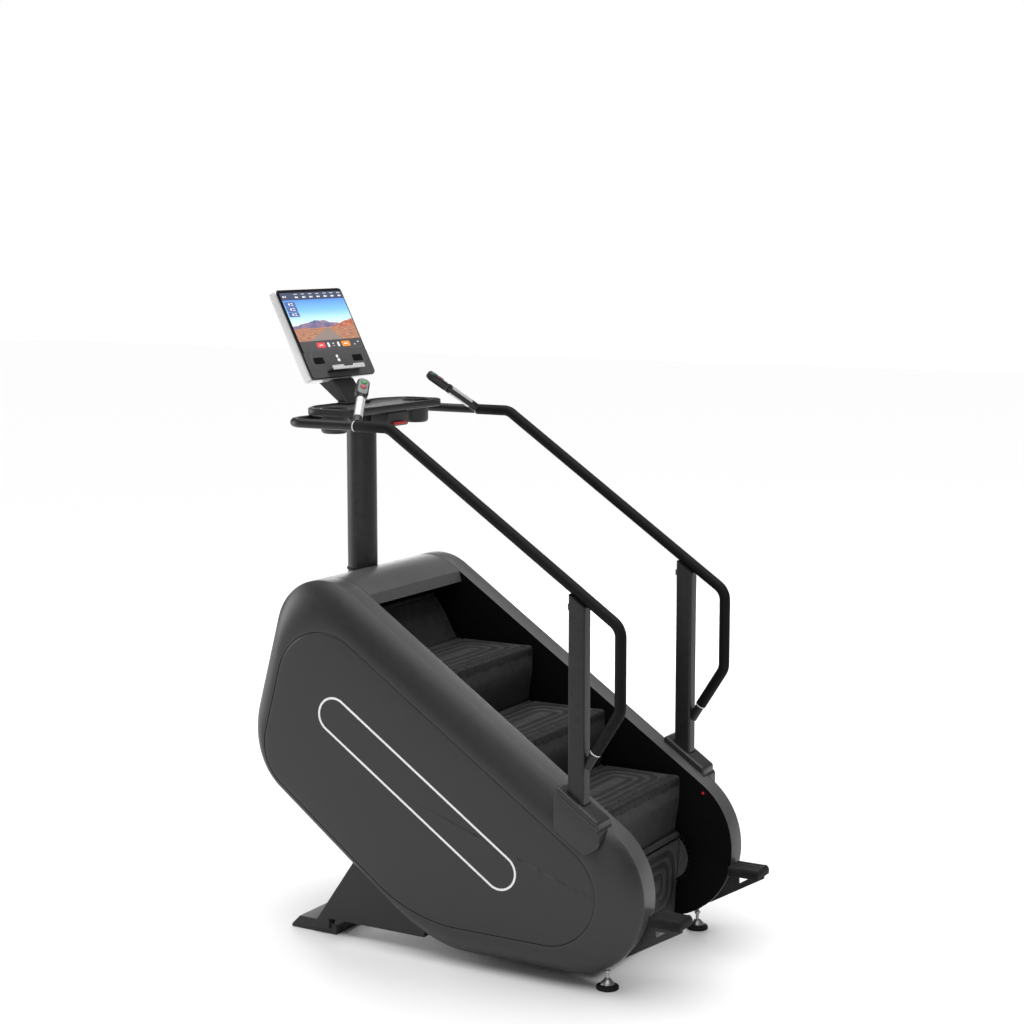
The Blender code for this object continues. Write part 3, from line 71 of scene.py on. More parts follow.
STEP_ANGLE = math.atan2(STEP_RISE, STEP_RUN)
STEP_PITCH = math.hypot(STEP_RISE, STEP_RUN)
DOWN = Vector((-math.cos(STEP_ANGLE), -math.sin(STEP_ANGLE)))
OUT = Vector((-math.sin(STEP_ANGLE), math.cos(STEP_ANGLE)))
STRAIGHT = (STEP_COUNT * STEP_PITCH - 2 * math.pi * CHAIN_RADIUS) / 2
LOWER_AXIS = Vector((0.095, 0.272))
UPPER_AXIS = LOWER_AXIS - DOWN * STRAIGHT
NOSE_OFFSET = CHAIN_RADIUS + STEP_RUN * STEP_RISE / STEP_PITCH + BARREL
POD_TOP_OFFSET = NOSE_OFFSET + 0.023

WELL_X, SEAM_X, SIDE_X, WALL = 0.300, 0.385, 0.441, 0.003
POST_X, POST_Y, POST_WIDTH, POST_DEPTH = 0.400, 0.0825, 0.050, 0.060
print("shift of the lay-out:", tuple(round(v, 4) for v in SHIFT))

# %% [markdown]
# ## Outlines
# Almost every panel here is a few straight lines with rounded corners. It is easiest to state the
# lines, find where they meet, and fillet each corner with its own radius. The same outline can
# then be moved inwards, which keeps the gaps between neighbouring panels even.

# %% Lines, corners and fillets
def meet(point_a, way_a, point_b, way_b):
    """Where two lines in the plane cross."""
    cross = way_a.x * way_b.y - way_a.y * way_b.x
    apart = point_b - point_a
    return point_a + way_a * ((apart.x * way_b.y - apart.y * way_b.x) / cross)


def fillet(before, corner, after, radius, steps):
    """The points of the arc that rounds one corner, in two or three dimensions."""
    back, ahead = (before - corner).normalized(), (after - corner).normalized()
    half = back.angle(ahead) / 2
    reach = radius / math.tan(half)
    middle = corner + (back + ahead).normalized() * (radius / math.sin(half))
    start, end = corner + back * reach - middle, corner + ahead * reach - middle
    turn = math.pi - 2 * half
    across = (end - start * math.cos(turn)) / math.sin(turn)
    return [middle + start * math.cos(turn * i / steps) + across * math.sin(turn * i / steps)
            for i in range(steps + 1)]


def rounded(corners, radii, steps=10):
    """A closed outline with each corner rounded."""
    points = []
    for i, corner in enumerate(corners):
        radius = radii if isinstance(radii, float) else radii[i]
        points += fillet(corners[i - 1], corner, corners[(i + 1) % len(corners)], radius, steps)
    return points


def rounded_path(corners, radius, steps=12):
    """An open path with its inner corners rounded."""
    points = [corners[0]]
    for before, corner, after in zip(corners, corners[1:], corners[2:]):
        points += fillet(before, corner, after, radius, steps)
    return points + [corners[-1]]


def plane_points(*pairs):
    return [Vector(pair) for pair in pairs]


print("outline helpers ready")

# %% The pod's five lines
POD_RADII = (0.272, 0.272, 0.40, 0.285, 0.197)
PANEL_INSETS = (0.123, 0.150, 0.097, 0.042, 0.083)
PANEL_RADII = (0.19, 0.19, 0.55, 0.17, 0.19)
BELLY_ANGLE, FRONT_LEAN = math.radians(36.7), math.radians(15.1)


def pod_lines():
    """Top, rear, bottom, belly and front, as (point, direction), anticlockwise."""
    return [
        (LOWER_AXIS + OUT * POD_TOP_OFFSET, DOWN),
        (Vector((LOWER_AXIS.x - 0.245, 0)), Vector((0, -1))),
        (Vector((0, 0.045)), Vector((1, 0))),
        (Vector((0.645, 0.045)), Vector((math.cos(BELLY_ANGLE), math.sin(BELLY_ANGLE)))),
        (UPPER_AXIS + Vector((0.387, -0.289)), Vector((-math.sin(FRONT_LEAN), math.cos(FRONT_LEAN)))),
    ]


def pod_corners(insets):
    moved = [(point + Vector((-way.y, way.x)) * inset, way)
             for (point, way), inset in zip(pod_lines(), insets)]
    return [meet(*moved[i], *moved[(i + 1) % 5]) for i in range(5)]


def pod_outline(inset=0.0, steps=28):
    return rounded(pod_corners([inset] * 5), [r - inset for r in POD_RADII], steps)


def panel_outline(grow=0.0, steps=28):
    return rounded(pod_corners([i - grow for i in PANEL_INSETS]), [r + grow for r in PANEL_RADII], steps)


print("pod outline points:", len(pod_outline()))

# %% [markdown]
# ## Mesh helpers
# Three shapes make most of the machine: a skin through rings of points, a bar with a constant
# outline, and a tube along a path. Each returns a bmesh, so that several can be joined before they
# become one object. Normals are recalculated once, when the mesh is finished and closed.

# %% Lofts, bars and sweeps
def loft(rings, closed=False, caps=True, form=None):
    """A skin through rings; closed joins the last ring to the first, caps fills both ends."""
    form = form or bmesh.new()
    rows = [[form.verts.new(spot) for spot in ring] for ring in rings]
    pairs = list(zip(rows, rows[1:])) + ([(rows[-1], rows[0])] if closed else [])
    count = len(rows[0])
    for near, far in pairs:
        for i in range(count):
            j = (i + 1) % count
            form.faces.new((near[i], near[j], far[j], far[i]))
    if caps and not closed:
        form.faces.new(rows[0])
        form.faces.new(rows[-1])
    return form


def solid(outline, low_x, high_x, form=None):
    """A closed outline in the side view, given its width along X."""
    return loft([[(x, spot.x, spot.y) for spot in outline] for x in (low_x, high_x)], form=form)


def bent_sheet(outer, inner, low_x, high_x, form=None):
    """A bent sheet between two side-view paths with the same number of points."""
    sections = []
    for out_spot, in_spot in zip(outer, inner):
        sections.append([(low_x, *out_spot), (high_x, *out_spot), (high_x, *in_spot), (low_x, *in_spot)])
    return loft(sections, form=form)


def frames_along(points):
    """Directions across a path that turn as little as they can from point to point."""
    ways = []
    for i in range(len(points)):
        ahead = points[min(i + 1, len(points) - 1)] - points[max(i - 1, 0)]
        ways.append(ahead.normalized())
    side = ways[0].orthogonal().normalized()
    found = []
    for i, way in enumerate(ways):
        if i:
            side = ways[i - 1].rotation_difference(way) @ side
        side = (side - way * side.dot(way)).normalized()
        found.append((side, way.cross(side)))
    return found


def sweep(points, radius, sides=24, form=None, ends=0.0):
    """A round tube along a path; ends rounds its two rims by that much."""
    points = [Vector(p) for p in points]
    radii = [radius] * len(points)
    if ends:
        first, last = (points[1] - points[0]).normalized(), (points[-1] - points[-2]).normalized()
        head, tail = points[0], points[-1]
        points = [head, head + first * ends * 0.3, head + first * ends] + points[1:-1] \
            + [tail - last * ends, tail - last * ends * 0.3, tail]
        radii = [radius - ends, radius - ends * 0.3, radius] + [radius] * (len(radii) - 2) \
            + [radius, radius - ends * 0.3, radius - ends]
    rings = []
    for spot, size, (side, up) in zip(points, radii, frames_along(points)):
        rings.append([spot + (side * math.cos(a) + up * math.sin(a)) * size
                      for a in (2 * math.pi * k / sides for k in range(sides))])
    return loft(rings, form=form)


def turned(profile, centre, sides=40, form=None):
    """A turned shape about a vertical axis, from (radius, height) pairs; ends meet on the axis."""
    rings = [[(centre[0] + radius * math.cos(a), centre[1] + radius * math.sin(a), height)
              for a in (2 * math.pi * k / sides for k in range(sides))] for radius, height in profile]
    return loft(rings, form=form)


def slab(outline, low_z, high_z, form=None):
    """A closed outline seen from above, given its height."""
    return loft([[(spot.x, spot.y, z) for spot in outline] for z in (low_z, high_z)], form=form)


print("mesh helpers ready")

# %% [markdown]
# ## Finishing a piece
# A finished mesh is shifted into place, shaded smooth with its hard edges kept, given its finish,
# and tied to the body that it moves with. If it stands for nodes of the frame, they are hidden.
# Left-hand pieces are reflected for the right, with their faces turned back outwards.

# %% Placing and reflecting
def place(name, form, finish, body="base", stands_for=(), slot=None, sharp=35, bevel=0.0, segments=3,
          shift=True, outward=True):
    bmesh.ops.remove_doubles(form, verts=form.verts, dist=1e-6)
    if outward:
        bmesh.ops.recalc_face_normals(form, faces=form.faces)
    if shift:
        bmesh.ops.translate(form, vec=SHIFT, verts=form.verts)
    mesh = bpy.data.meshes.new(name)
    form.to_mesh(mesh)
    form.free()
    return place_mesh(name, mesh, finish, body, stands_for, sharp, bevel, segments)


def place_mesh(name, mesh, finish, body="base", stands_for=(), sharp=35, bevel=0.0, segments=3):
    finishes = finish if isinstance(finish, (list, tuple)) else [finish]
    kinds = [min(face.material_index, len(finishes) - 1) for face in mesh.polygons]
    mesh.materials.clear()
    for one in finishes:
        mesh.materials.append(one)
    mesh.polygons.foreach_set("material_index", kinds)
    mesh.shade_smooth()
    mesh.set_sharp_from_angle(angle=math.radians(sharp))
    piece = bpy.data.objects.new(name, mesh)
    bpy.context.scene.collection.objects.link(piece)
    if bevel:
        step = piece.modifiers.new("soft_edges", "BEVEL")
        step.width = bevel
        step.segments = segments
        step.limit_method = "ANGLE"
        step.angle_limit = math.radians(sharp)
        step.harden_normals = True
    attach(piece, body)
    if stands_for:
        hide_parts(*([stands_for] if isinstance(stands_for, str) else stands_for))
    return piece


def reflected(form):
    copy = form.copy()
    bmesh.ops.scale(copy, vec=(-1, 1, 1), verts=copy.verts)
    bmesh.ops.reverse_faces(copy, faces=copy.faces)
    return copy


def place_both(name, form, finish, body="base", stands_for=None, **more):
    """Places a left-hand piece and its right-hand twin."""
    bodies = body if isinstance(body, tuple) else (body, body)
    made = []
    for side, shape, rider in (("left", form, bodies[0]), ("right", reflected(form), bodies[1])):
        node = (f"{stands_for}_{side}",) if stands_for else ()
        made.append(place(f"{name}_{side}", shape, finish, rider, node, **more))
    return made


print("placing helpers ready")

# %% [markdown]
# ## Finishes
# Nearly everything is charcoal plastic or black paint, so the differences lie in the surface:
# the fine pebble that a mould leaves, the orange peel of powder coat, faint mottling, dust that
# settles on faces that look up, and corners rubbed a little lighter. One shader group holds those
# effects, with its sizes as inputs, and each finish places it with values of its own.

# %% The shared surface group
def make_surface_group():
    tree = bpy.data.node_groups.new("moulded_surface", "ShaderNodeTree")
    sockets = (
        ("Colour", "NodeSocketColor", (0.05, 0.05, 0.05, 1)),
        ("Roughness", "NodeSocketFloat", 0.45),
        ("Roughness Spread", "NodeSocketFloat", 0.08),
        ("Mottle", "NodeSocketFloat", 0.12),
        ("Grain Scale", "NodeSocketFloat", 900.0),
        ("Grain Depth", "NodeSocketFloat", 0.15),
        ("Dust", "NodeSocketFloat", 0.05),
        ("Wear", "NodeSocketFloat", 0.15),
    )
    for name, kind, value in sockets:
        tree.interface.new_socket(name=name, in_out="INPUT", socket_type=kind).default_value = value
    for name, kind in (("Colour", "NodeSocketColor"), ("Roughness", "NodeSocketFloat"),
                       ("Normal", "NodeSocketVector")):
        tree.interface.new_socket(name=name, in_out="OUTPUT", socket_type=kind)
    nodes, links = tree.nodes, tree.links
    given, result = nodes.new("NodeGroupInput"), nodes.new("NodeGroupOutput")
    where = nodes.new("ShaderNodeTexCoord")

    def noise(scale, detail):
        made = nodes.new("ShaderNodeTexNoise")
        made.inputs["Detail"].default_value = detail
        if isinstance(scale, float):
            made.inputs["Scale"].default_value = scale
        else:
            links.new(scale, made.inputs["Scale"])
        links.new(where.outputs["Object"], made.inputs["Vector"])
        return made.outputs["Fac"]

    def math_node(kind, a, b, clamp=False):
        made = nodes.new("ShaderNodeMath")
        made.operation = kind
        made.use_clamp = clamp
        for socket, value in zip(made.inputs, (a, b)):
            if isinstance(value, (int, float)):
                socket.default_value = value
            else:
                links.new(value, socket)
        return made.outputs[0]

    cloud = noise(3.5, 3.0)
    blotch = noise(38.0, 4.0)
    pebble = nodes.new("ShaderNodeTexVoronoi")
    pebble.feature = "SMOOTH_F1"
    links.new(where.outputs["Object"], pebble.inputs["Vector"])
    links.new(given.outputs["Grain Scale"], pebble.inputs["Scale"])
    fine = noise(given.outputs["Grain Scale"], 2.0)

    shade = math_node("MULTIPLY", math_node("SUBTRACT", math_node("ADD", cloud, blotch), 1.0),
                      given.outputs["Mottle"])
    factor = math_node("ADD", shade, 1.0)
    tint = nodes.new("ShaderNodeVectorMath")
    tint.operation = "SCALE"
    links.new(given.outputs["Colour"], tint.inputs[0])
    links.new(factor, tint.inputs["Scale"])

    shape = nodes.new("ShaderNodeNewGeometry")
    split = nodes.new("ShaderNodeSeparateXYZ")
    links.new(shape.outputs["Normal"], split.inputs[0])
    upward = math_node("MULTIPLY", split.outputs["Z"], blotch, clamp=True)
    dusty = math_node("MULTIPLY", upward, given.outputs["Dust"], clamp=True)
    dust_mix = nodes.new("ShaderNodeMix")
    dust_mix.data_type = "RGBA"
    links.new(dusty, dust_mix.inputs["Factor"])
    links.new(tint.outputs[0], dust_mix.inputs["A"])
    dust_mix.inputs["B"].default_value = (0.32, 0.31, 0.30, 1)

    edge = nodes.new("ShaderNodeMapRange")
    edge.inputs["From Min"].default_value = 0.53
    edge.inputs["From Max"].default_value = 0.62
    links.new(shape.outputs["Pointiness"], edge.inputs["Value"])
    worn = math_node("MULTIPLY", math_node("MULTIPLY", edge.outputs[0], blotch), given.outputs["Wear"],
                     clamp=True)
    wear_mix = nodes.new("ShaderNodeMix")
    wear_mix.data_type = "RGBA"
    links.new(worn, wear_mix.inputs["Factor"])
    links.new(dust_mix.outputs["Result"], wear_mix.inputs["A"])
    wear_mix.inputs["B"].default_value = (0.22, 0.22, 0.22, 1)

    spread = math_node("MULTIPLY", math_node("SUBTRACT", blotch, 0.5), given.outputs["Roughness Spread"])
    rough = math_node("ADD", math_node("ADD", given.outputs["Roughness"], spread),
                      math_node("MULTIPLY", dusty, 0.4), clamp=True)

    height = math_node("ADD", math_node("MULTIPLY", pebble.outputs["Distance"], 0.7), fine)
    bump = nodes.new("ShaderNodeBump")
    bump.inputs["Distance"].default_value = 0.0004
    links.new(height, bump.inputs["Height"])
    links.new(given.outputs["Grain Depth"], bump.inputs["Strength"])

    links.new(wear_mix.outputs["Result"], result.inputs["Colour"])
    links.new(rough, result.inputs["Roughness"])
    links.new(bump.outputs["Normal"], result.inputs["Normal"])
    return tree


SURFACE = make_surface_group()
print("group:", SURFACE.name, "with", len(SURFACE.nodes), "nodes")

# %% [markdown]
# Each finish is a Principled shader with the group in front of it. Values that are the same all
# over, such as metal, coat or specular level, are set on the shader itself.

# %% Finishes
def finish(name, colour, roughness, metallic=0.0, coat=0.0, specular=0.5, emission=0.0, **look):
    made = bpy.data.materials.new(name)
    made.use_nodes = True
    nodes, links = made.node_tree.nodes, made.node_tree.links
    shader = nodes["Principled BSDF"]
    shader.inputs["Metallic"].default_value = metallic
    shader.inputs["Coat Weight"].default_value = coat
    shader.inputs["Coat Roughness"].default_value = 0.15
    shader.inputs["Specular IOR Level"].default_value = specular
    surface = nodes.new("ShaderNodeGroup")
    surface.node_tree = SURFACE
    surface.inputs["Colour"].default_value = (*colour, 1)
    surface.inputs["Roughness"].default_value = roughness
    for key, value in look.items():
        surface.inputs[key.replace("_", " ").title()].default_value = value
    links.new(surface.outputs["Colour"], shader.inputs["Base Color"])
    links.new(surface.outputs["Roughness"], shader.inputs["Roughness"])
    links.new(surface.outputs["Normal"], shader.inputs["Normal"])
    if emission:
        links.new(surface.outputs["Colour"], shader.inputs["Emission Color"])
        shader.inputs["Emission Strength"].default_value = emission
    return made


SHELL = finish("charcoal_shell", (0.018, 0.018, 0.0183), 0.40, grain_scale=1100.0, grain_depth=0.10)
PANEL = finish("charcoal_panel", (0.018, 0.018, 0.0183), 0.42, grain_scale=1100.0, grain_depth=0.10)
BAND = finish("charcoal_band", (0.070, 0.070, 0.0705), 0.42, grain_scale=900.0, grain_depth=0.14)
COVER = finish("charcoal_cover", (0.078, 0.078, 0.0785), 0.38, grain_scale=900.0, grain_depth=0.10)
STEP = finish("step_plastic", (0.011, 0.011, 0.0112), 0.54, specular=0.25, grain_scale=620.0, grain_depth=0.30,
              dust=0.04, wear=0.25)
FRAME = finish("black_powder_coat", (0.008, 0.008, 0.0085), 0.48, grain_scale=420.0, grain_depth=0.20)
POST = finish("black_satin_paint", (0.009, 0.009, 0.0095), 0.40, specular=0.32, grain_scale=500.0,
              grain_depth=0.08)
RUBBER = finish("grip_rubber", (0.0035, 0.0035, 0.0035), 0.62, specular=0.15, grain_scale=1500.0, grain_depth=0.35)
MOULDED = finish("black_moulding", (0.011, 0.011, 0.0115), 0.46, grain_scale=1000.0, grain_depth=0.12)
STEEL = finish("machined_steel", (0.42, 0.42, 0.43), 0.32, metallic=1.0, grain_scale=300.0,
               grain_depth=0.08, roughness_spread=0.2)
DARK_STEEL = finish("oiled_steel", (0.045, 0.043, 0.040), 0.40, metallic=0.9, grain_scale=300.0,
                    grain_depth=0.12, roughness_spread=0.25)
ZINC = finish("zinc_plated", (0.45, 0.45, 0.46), 0.34, metallic=1.0, grain_scale=400.0, grain_depth=0.1,
              roughness_spread=0.2)
SILVER = finish("silver_paint", (0.82, 0.82, 0.83), 0.30, metallic=0.30, coat=0.3, grain_depth=0.04)
# The console's lower face is given a light grey colour that stands in for the sheen on it: painted sheen.
SHEEN_FACE_PLATE = finish("console_facing_painted_sheen", (0.105, 0.105, 0.108), 0.40, grain_depth=0.08)
# The well's inner wall gets a near-black colour and little specular, far darker than the band of the same moulding:
# painted shade for the deep well.
SHADED_WELL_WALL = finish("well_wall_painted_shade", (0.003, 0.003, 0.003), 0.60, specular=0.06, grain_scale=900.0, grain_depth=0.14,
              dust=0.0, wear=0.0)
GLASS_BLACK = finish("black_glass", (0.010, 0.010, 0.012), 0.09, grain_depth=0.0, roughness_spread=0.06,
                     mottle=0.02, dust=0.01, wear=0.0)
LEDGE = finish("white_ledge", (0.78, 0.78, 0.78), 0.34, grain_depth=0.05, mottle=0.04)
LINE = finish("white_line", (0.86, 0.86, 0.86), 0.42, grain_depth=0.03, mottle=0.03, wear=0.0, dust=0.0)
GREEN = finish("green_button", (0.010, 0.36, 0.06), 0.34, grain_depth=0.05)
RED = finish("red_button", (0.52, 0.012, 0.012), 0.34, grain_depth=0.05)
GREY = finish("grey_facing", (0.20, 0.20, 0.205), 0.40, grain_depth=0.08)
print("finishes:", len(bpy.data.materials))

# %% [markdown]
# ## The pods
# Each pod is a vacuum-formed shell that rolls from a seam on the well's side over to a flat inset
# panel. A loft through rings gives that roll: every ring blends the pod's outline towards the
# panel's while it moves outwards, so the curve stays even all the way round.

# %% Shells
START = math.radians(42)


def roll(share):
    """How far out and how far towards the panel the shell is, from the seam (0) to the rim (1)."""
    a = START + (math.pi / 2 - START) * share
    out = (math.sin(a) - math.sin(START)) / (1 - math.sin(START))
    across = (math.cos(START) - math.cos(a)) / math.cos(START)
    return out, across


def shell_ring(share, inset):
    out, across = roll(share)
    x = SEAM_X + (SIDE_X - inset - SEAM_X) * out
    rim = panel_outline(0.0016)
    return [(-x, *here.lerp(there, across)) for here, there in zip(pod_outline(inset), rim)]


shares = [i / 14 for i in range(15)]
rings = [shell_ring(share, 0.0) for share in shares] + [shell_ring(share, WALL) for share in shares[::-1]]
shells = place_both("pod_shell", loft(rings, closed=True), SHELL, stands_for="side_shell",
                    slot="shell_grey", sharp=40)
print("shell faces:", len(shells[0].data.polygons))

# %% [markdown]
# The inset panel is a separate sheet with a soft rim and a slight crown. The groove between it and
# the shell reads as a thin dark line.

# %% Inset panels
def evenly(outline, count):
    """The same closed outline with its points spaced evenly."""
    lengths = [(outline[(i + 1) % len(outline)] - spot).length for i, spot in enumerate(outline)]
    total, points, i, passed = sum(lengths), [], 0, 0.0
    for k in range(count):
        while passed + lengths[i] < total * k / count:
            passed += lengths[i]
            i += 1
        share = (total * k / count - passed) / lengths[i]
        points.append(outline[i].lerp(outline[(i + 1) % len(outline)], share))
    return points


def crown(spot):
    """How far the panel swells: nothing at its rim, and full height well inside all five sides."""
    height = 0.0042
    for (point, way), inset in zip(pod_lines(), PANEL_INSETS):
        depth = (spot - point).dot(Vector((-way.y, way.x))) - inset
        height *= 1 - math.exp(-max(depth, 0.0) / 0.06)
    return height


rim = evenly(panel_outline(), 288)
centre = sum(rim, Vector((0, 0))) / len(rim)
panel_rings = [[(-SIDE_X + WALL, *p) for p in rim], [(-SIDE_X + 0.0016, *p) for p in rim],
               [(-SIDE_X + 0.0005, *centre.lerp(p, 0.9975)) for p in rim]]
for share in (0.993, 0.98, 0.955, 0.92, 0.87, 0.80, 0.71, 0.60, 0.48, 0.35, 0.22, 0.08):
    spots = [centre.lerp(p, share) for p in rim]
    panel_rings.append([(-SIDE_X - crown(p), *p) for p in spots])
place_both("pod_panel", loft(panel_rings), PANEL, stands_for="side_panel", slot="panel_grey", sharp=40)
print("panel rings:", len(panel_rings))

# %% [markdown]
# A plain white line, a long loop with round ends, runs down the panel at the angle of the stairs.

# %% Accent line
line_top, line_foot = Vector((1.0186, 0.8195)), Vector((0.3565, 0.3665))
LOOP_RADIUS, LOOP_WIDTH = 0.0605, 0.0078


def long_loop(radius, steps=20):
    heading = math.atan2((line_top - line_foot).y, (line_top - line_foot).x)
    points = []
    for centre, first in ((line_top, heading - math.pi / 2), (line_foot, heading + math.pi / 2)):
        for i in range(steps + 1):
            a = first + math.pi * i / steps
            points.append(centre + Vector((math.cos(a), math.sin(a))) * radius)
    return points


line_rings = []
for radius, out in ((LOOP_RADIUS - LOOP_WIDTH / 2, 0.0035), (LOOP_RADIUS - LOOP_WIDTH / 2, 0.0045),
                    (LOOP_RADIUS + LOOP_WIDTH / 2, 0.0045), (LOOP_RADIUS + LOOP_WIDTH / 2, 0.0035)):
    line_rings.append([(-SIDE_X - out, *p) for p in long_loop(radius)])
place_both("accent_line", loft(line_rings, closed=True), LINE, sharp=40)
print("loop length:", round(2 * ((line_top - line_foot).length + math.pi * LOOP_RADIUS), 3))

# %% [markdown]
# The liner is the flat band that the user's hands pass over, and the well's inner wall, in one
# moulding. It stops just short of the seam, so that the joint shows as a shadow.

# %% Liners
def band_ring(x, inset):
    return [(-x, *p) for p in pod_outline(inset)]


band_edge = SEAM_X - 0.0012
liner_rings = [band_ring(WELL_X, 0.002), band_ring(WELL_X + 0.0006, 0.0006), band_ring(WELL_X + 0.002, 0.0),
               band_ring(band_edge - 0.001, 0.0), band_ring(band_edge, 0.001), band_ring(band_edge, WALL),
               band_ring(WELL_X + WALL, WALL)]
liner = loft(liner_rings)
# Faces on the well's inner wall take the second, near-black finish: painted shade, since band and wall are one
# moulding.
liner.normal_update()
for face in liner.faces:
    face.material_index = 1 if all(abs(v.co.x + WELL_X) < 0.0031 for v in face.verts) else 0
place_both("well_liner", liner, (BAND, SHADED_WELL_WALL), stands_for="side_liner", slot="band_grey", sharp=40)
print("band width:", round(band_edge - WELL_X, 4))

# %% [markdown]
# ## Covers
# Two bent sheets close the machine between the pods: one over the top, with a folded lip above the
# last step, and one down the front and under the belly. Both are extruded from a path and the same
# path moved in by the sheet's thickness.

# %% Top and front covers
SHEET = 0.004


def bent_paths(radii, end_cuts):
    """The outer and inner path of a sheet that follows given corners of the pod."""
    paths = []
    for inset in (0.0, SHEET):
        lines = [(point + Vector((-way.y, way.x)) * inset, way) for point, way in pod_lines()]
        corners = end_cuts(lines, inset)
        path = [corners[0]]
        for before, corner, after, radius in zip(corners, corners[1:], corners[2:], radii):
            path += fillet(before, corner, after, radius - inset, 24)
        paths.append(path + [corners[-1]])
    return paths


def over_the_top(lines, inset):
    top, front = lines[0], lines[4]
    fold = meet(*top, Vector((0.965 + inset, 0)), Vector((0, 1)))
    split = meet(*front, Vector((0, 0.981)), Vector((1, 0)))
    return [fold + Vector((-0.009, -0.038 + inset)), fold, meet(*top, *front), split]


def under_the_belly(lines, inset):
    bottom, belly, front = lines[2], lines[3], lines[4]
    split = meet(*front, Vector((0, 0.979)), Vector((1, 0)))
    end = meet(*bottom, Vector((0.14, 0)), Vector((0, 1)))
    return [split, meet(*front, *belly), meet(*belly, *bottom), end]


outer, inner = bent_paths((0.006, POD_RADII[4]), over_the_top)
place("top_sheet", bent_sheet(outer, inner, -WELL_X + 0.0005, WELL_X - 0.0005), COVER,
      stands_for="top_cover", slot="cover_grey")
outer, inner = bent_paths((POD_RADII[3], POD_RADII[2]), under_the_belly)
place("front_sheet", bent_sheet(outer, inner, -WELL_X + 0.0005, WELL_X - 0.0005), SHELL,
      stands_for="lower_cover", slot="shell_grey")
print("sheet points:", len(outer))

# %% [markdown]
# ## Steps
# A step is a tread and a riser hinged at the nose. The axles are spaced evenly along the chains, and
# each nose is where a circle of one tread round its axle meets a circle of one riser round the next.

# %% Axles and noses
def chain_point(distance):
    arc = math.pi * CHAIN_RADIUS
    distance %= 2 * (STRAIGHT + arc)
    for axis, far_axis, side in ((UPPER_AXIS, LOWER_AXIS, 1), (LOWER_AXIS, UPPER_AXIS, -1)):
        if distance <= STRAIGHT:
            return axis + (OUT * CHAIN_RADIUS + DOWN * distance) * side
        distance -= STRAIGHT
        if distance <= arc:
            turn = distance / CHAIN_RADIUS
            return far_axis + (OUT * math.cos(turn) + DOWN * math.sin(turn)) * CHAIN_RADIUS * side
        distance -= arc
    return chain_point(0.0)


def nose_between(axle, following):
    line = following - axle
    along = (STEP_RUN ** 2 - STEP_RISE ** 2 + line.length_squared) / (2 * line.length)
    way = line.normalized()
    return axle + way * along + Vector((way.y, -way.x)) * math.sqrt(STEP_RUN ** 2 - along ** 2)


AXLES = [chain_point(STRAIGHT - CHAIN_PHASE + (i - 4) * STEP_PITCH) for i in range(STEP_COUNT)]
NOSES = [nose_between(AXLES[i], AXLES[(i + 1) % STEP_COUNT]) for i in range(STEP_COUNT)]
print("second nose:", tuple(round(v, 3) for v in NOSES[1]))


# %% Tread and riser plates
def tread_outline(gap):
    """A level tread in side view, its axle at the centre and its nose a run to the rear."""
    under = BARREL - TREAD_THICKNESS
    last = -math.pi + math.asin(-under / BARREL)
    points = [Vector((-gap, under + 0.003)), Vector((-gap, BARREL - 0.003)), Vector((-gap - 0.003, BARREL))]
    for i in range(21):
        a = math.pi / 2 + (last - math.pi / 2) * i / 20
        points.append(Vector((-STEP_RUN - math.cos(a) * BARREL, math.sin(a) * BARREL)))
    return points + [Vector((-gap - 0.003, under))]


def riser_outline(gap):
    """An upright riser in side view, its nose at the centre and its barrel a rise below."""
    start, end, rows = 0.30 * STEP_RISE, STEP_RISE - BARREL, 18
    outer = [Vector((-BARREL, -gap))]
    for i in range(rows + 1):
        share = i / rows
        eased = share * share * (3 - 2 * share)
        outer.append(Vector((-BARREL + RISER_BOW * eased, -start - (end - start) * share)))
    inner = [spot + Vector((RISER_THICKNESS, 0)) for spot in outer]
    first = math.asin((RISER_BOW - BARREL) / BARREL)
    last = math.asin(min(1, (RISER_BOW - BARREL + RISER_THICKNESS) / BARREL))
    barrel = []
    for i in range(25):
        a = -first + (2 * math.pi - last + first) * i / 24
        barrel.append(Vector((-math.sin(a) * BARREL, -STEP_RISE + math.cos(a) * BARREL)))
    return outer[:-1] + barrel + inner[-2::-1]


def pose(pivot, way, level_way):
    """The turn and shift that lay a level piece along its real direction."""
    angle = math.atan2(way.y, way.x) - math.atan2(level_way.y, level_way.x)
    return Matrix.Translation((0, *pivot)) @ Matrix.Rotation(angle, 4, "X")


def tread_pose(i):
    return pose(AXLES[i], NOSES[i] - AXLES[i], Vector((-1, 0)))


def riser_pose(i):
    return pose(NOSES[i], AXLES[(i + 1) % STEP_COUNT] - NOSES[i], Vector((0, -1)))


print("tread outline points:", len(tread_outline(0.017)), "riser:", len(riser_outline(0.012)))

# %% [markdown]
# The treads carry broad anti-slip ridges. They are nested loops: long across the step, with round
# corners where they turn back. Geometry Nodes draw one rectangle per loop, fillet it, and sweep a
# round profile along it, which is then flattened so that only a low crest stands above the tread.

# %% A tree for nested ridges
def input_socket(tree, name, kind, value=None):
    socket = tree.interface.new_socket(name=name, in_out="INPUT", socket_type=kind)
    if value is not None:
        socket.default_value = value
    return socket.identifier


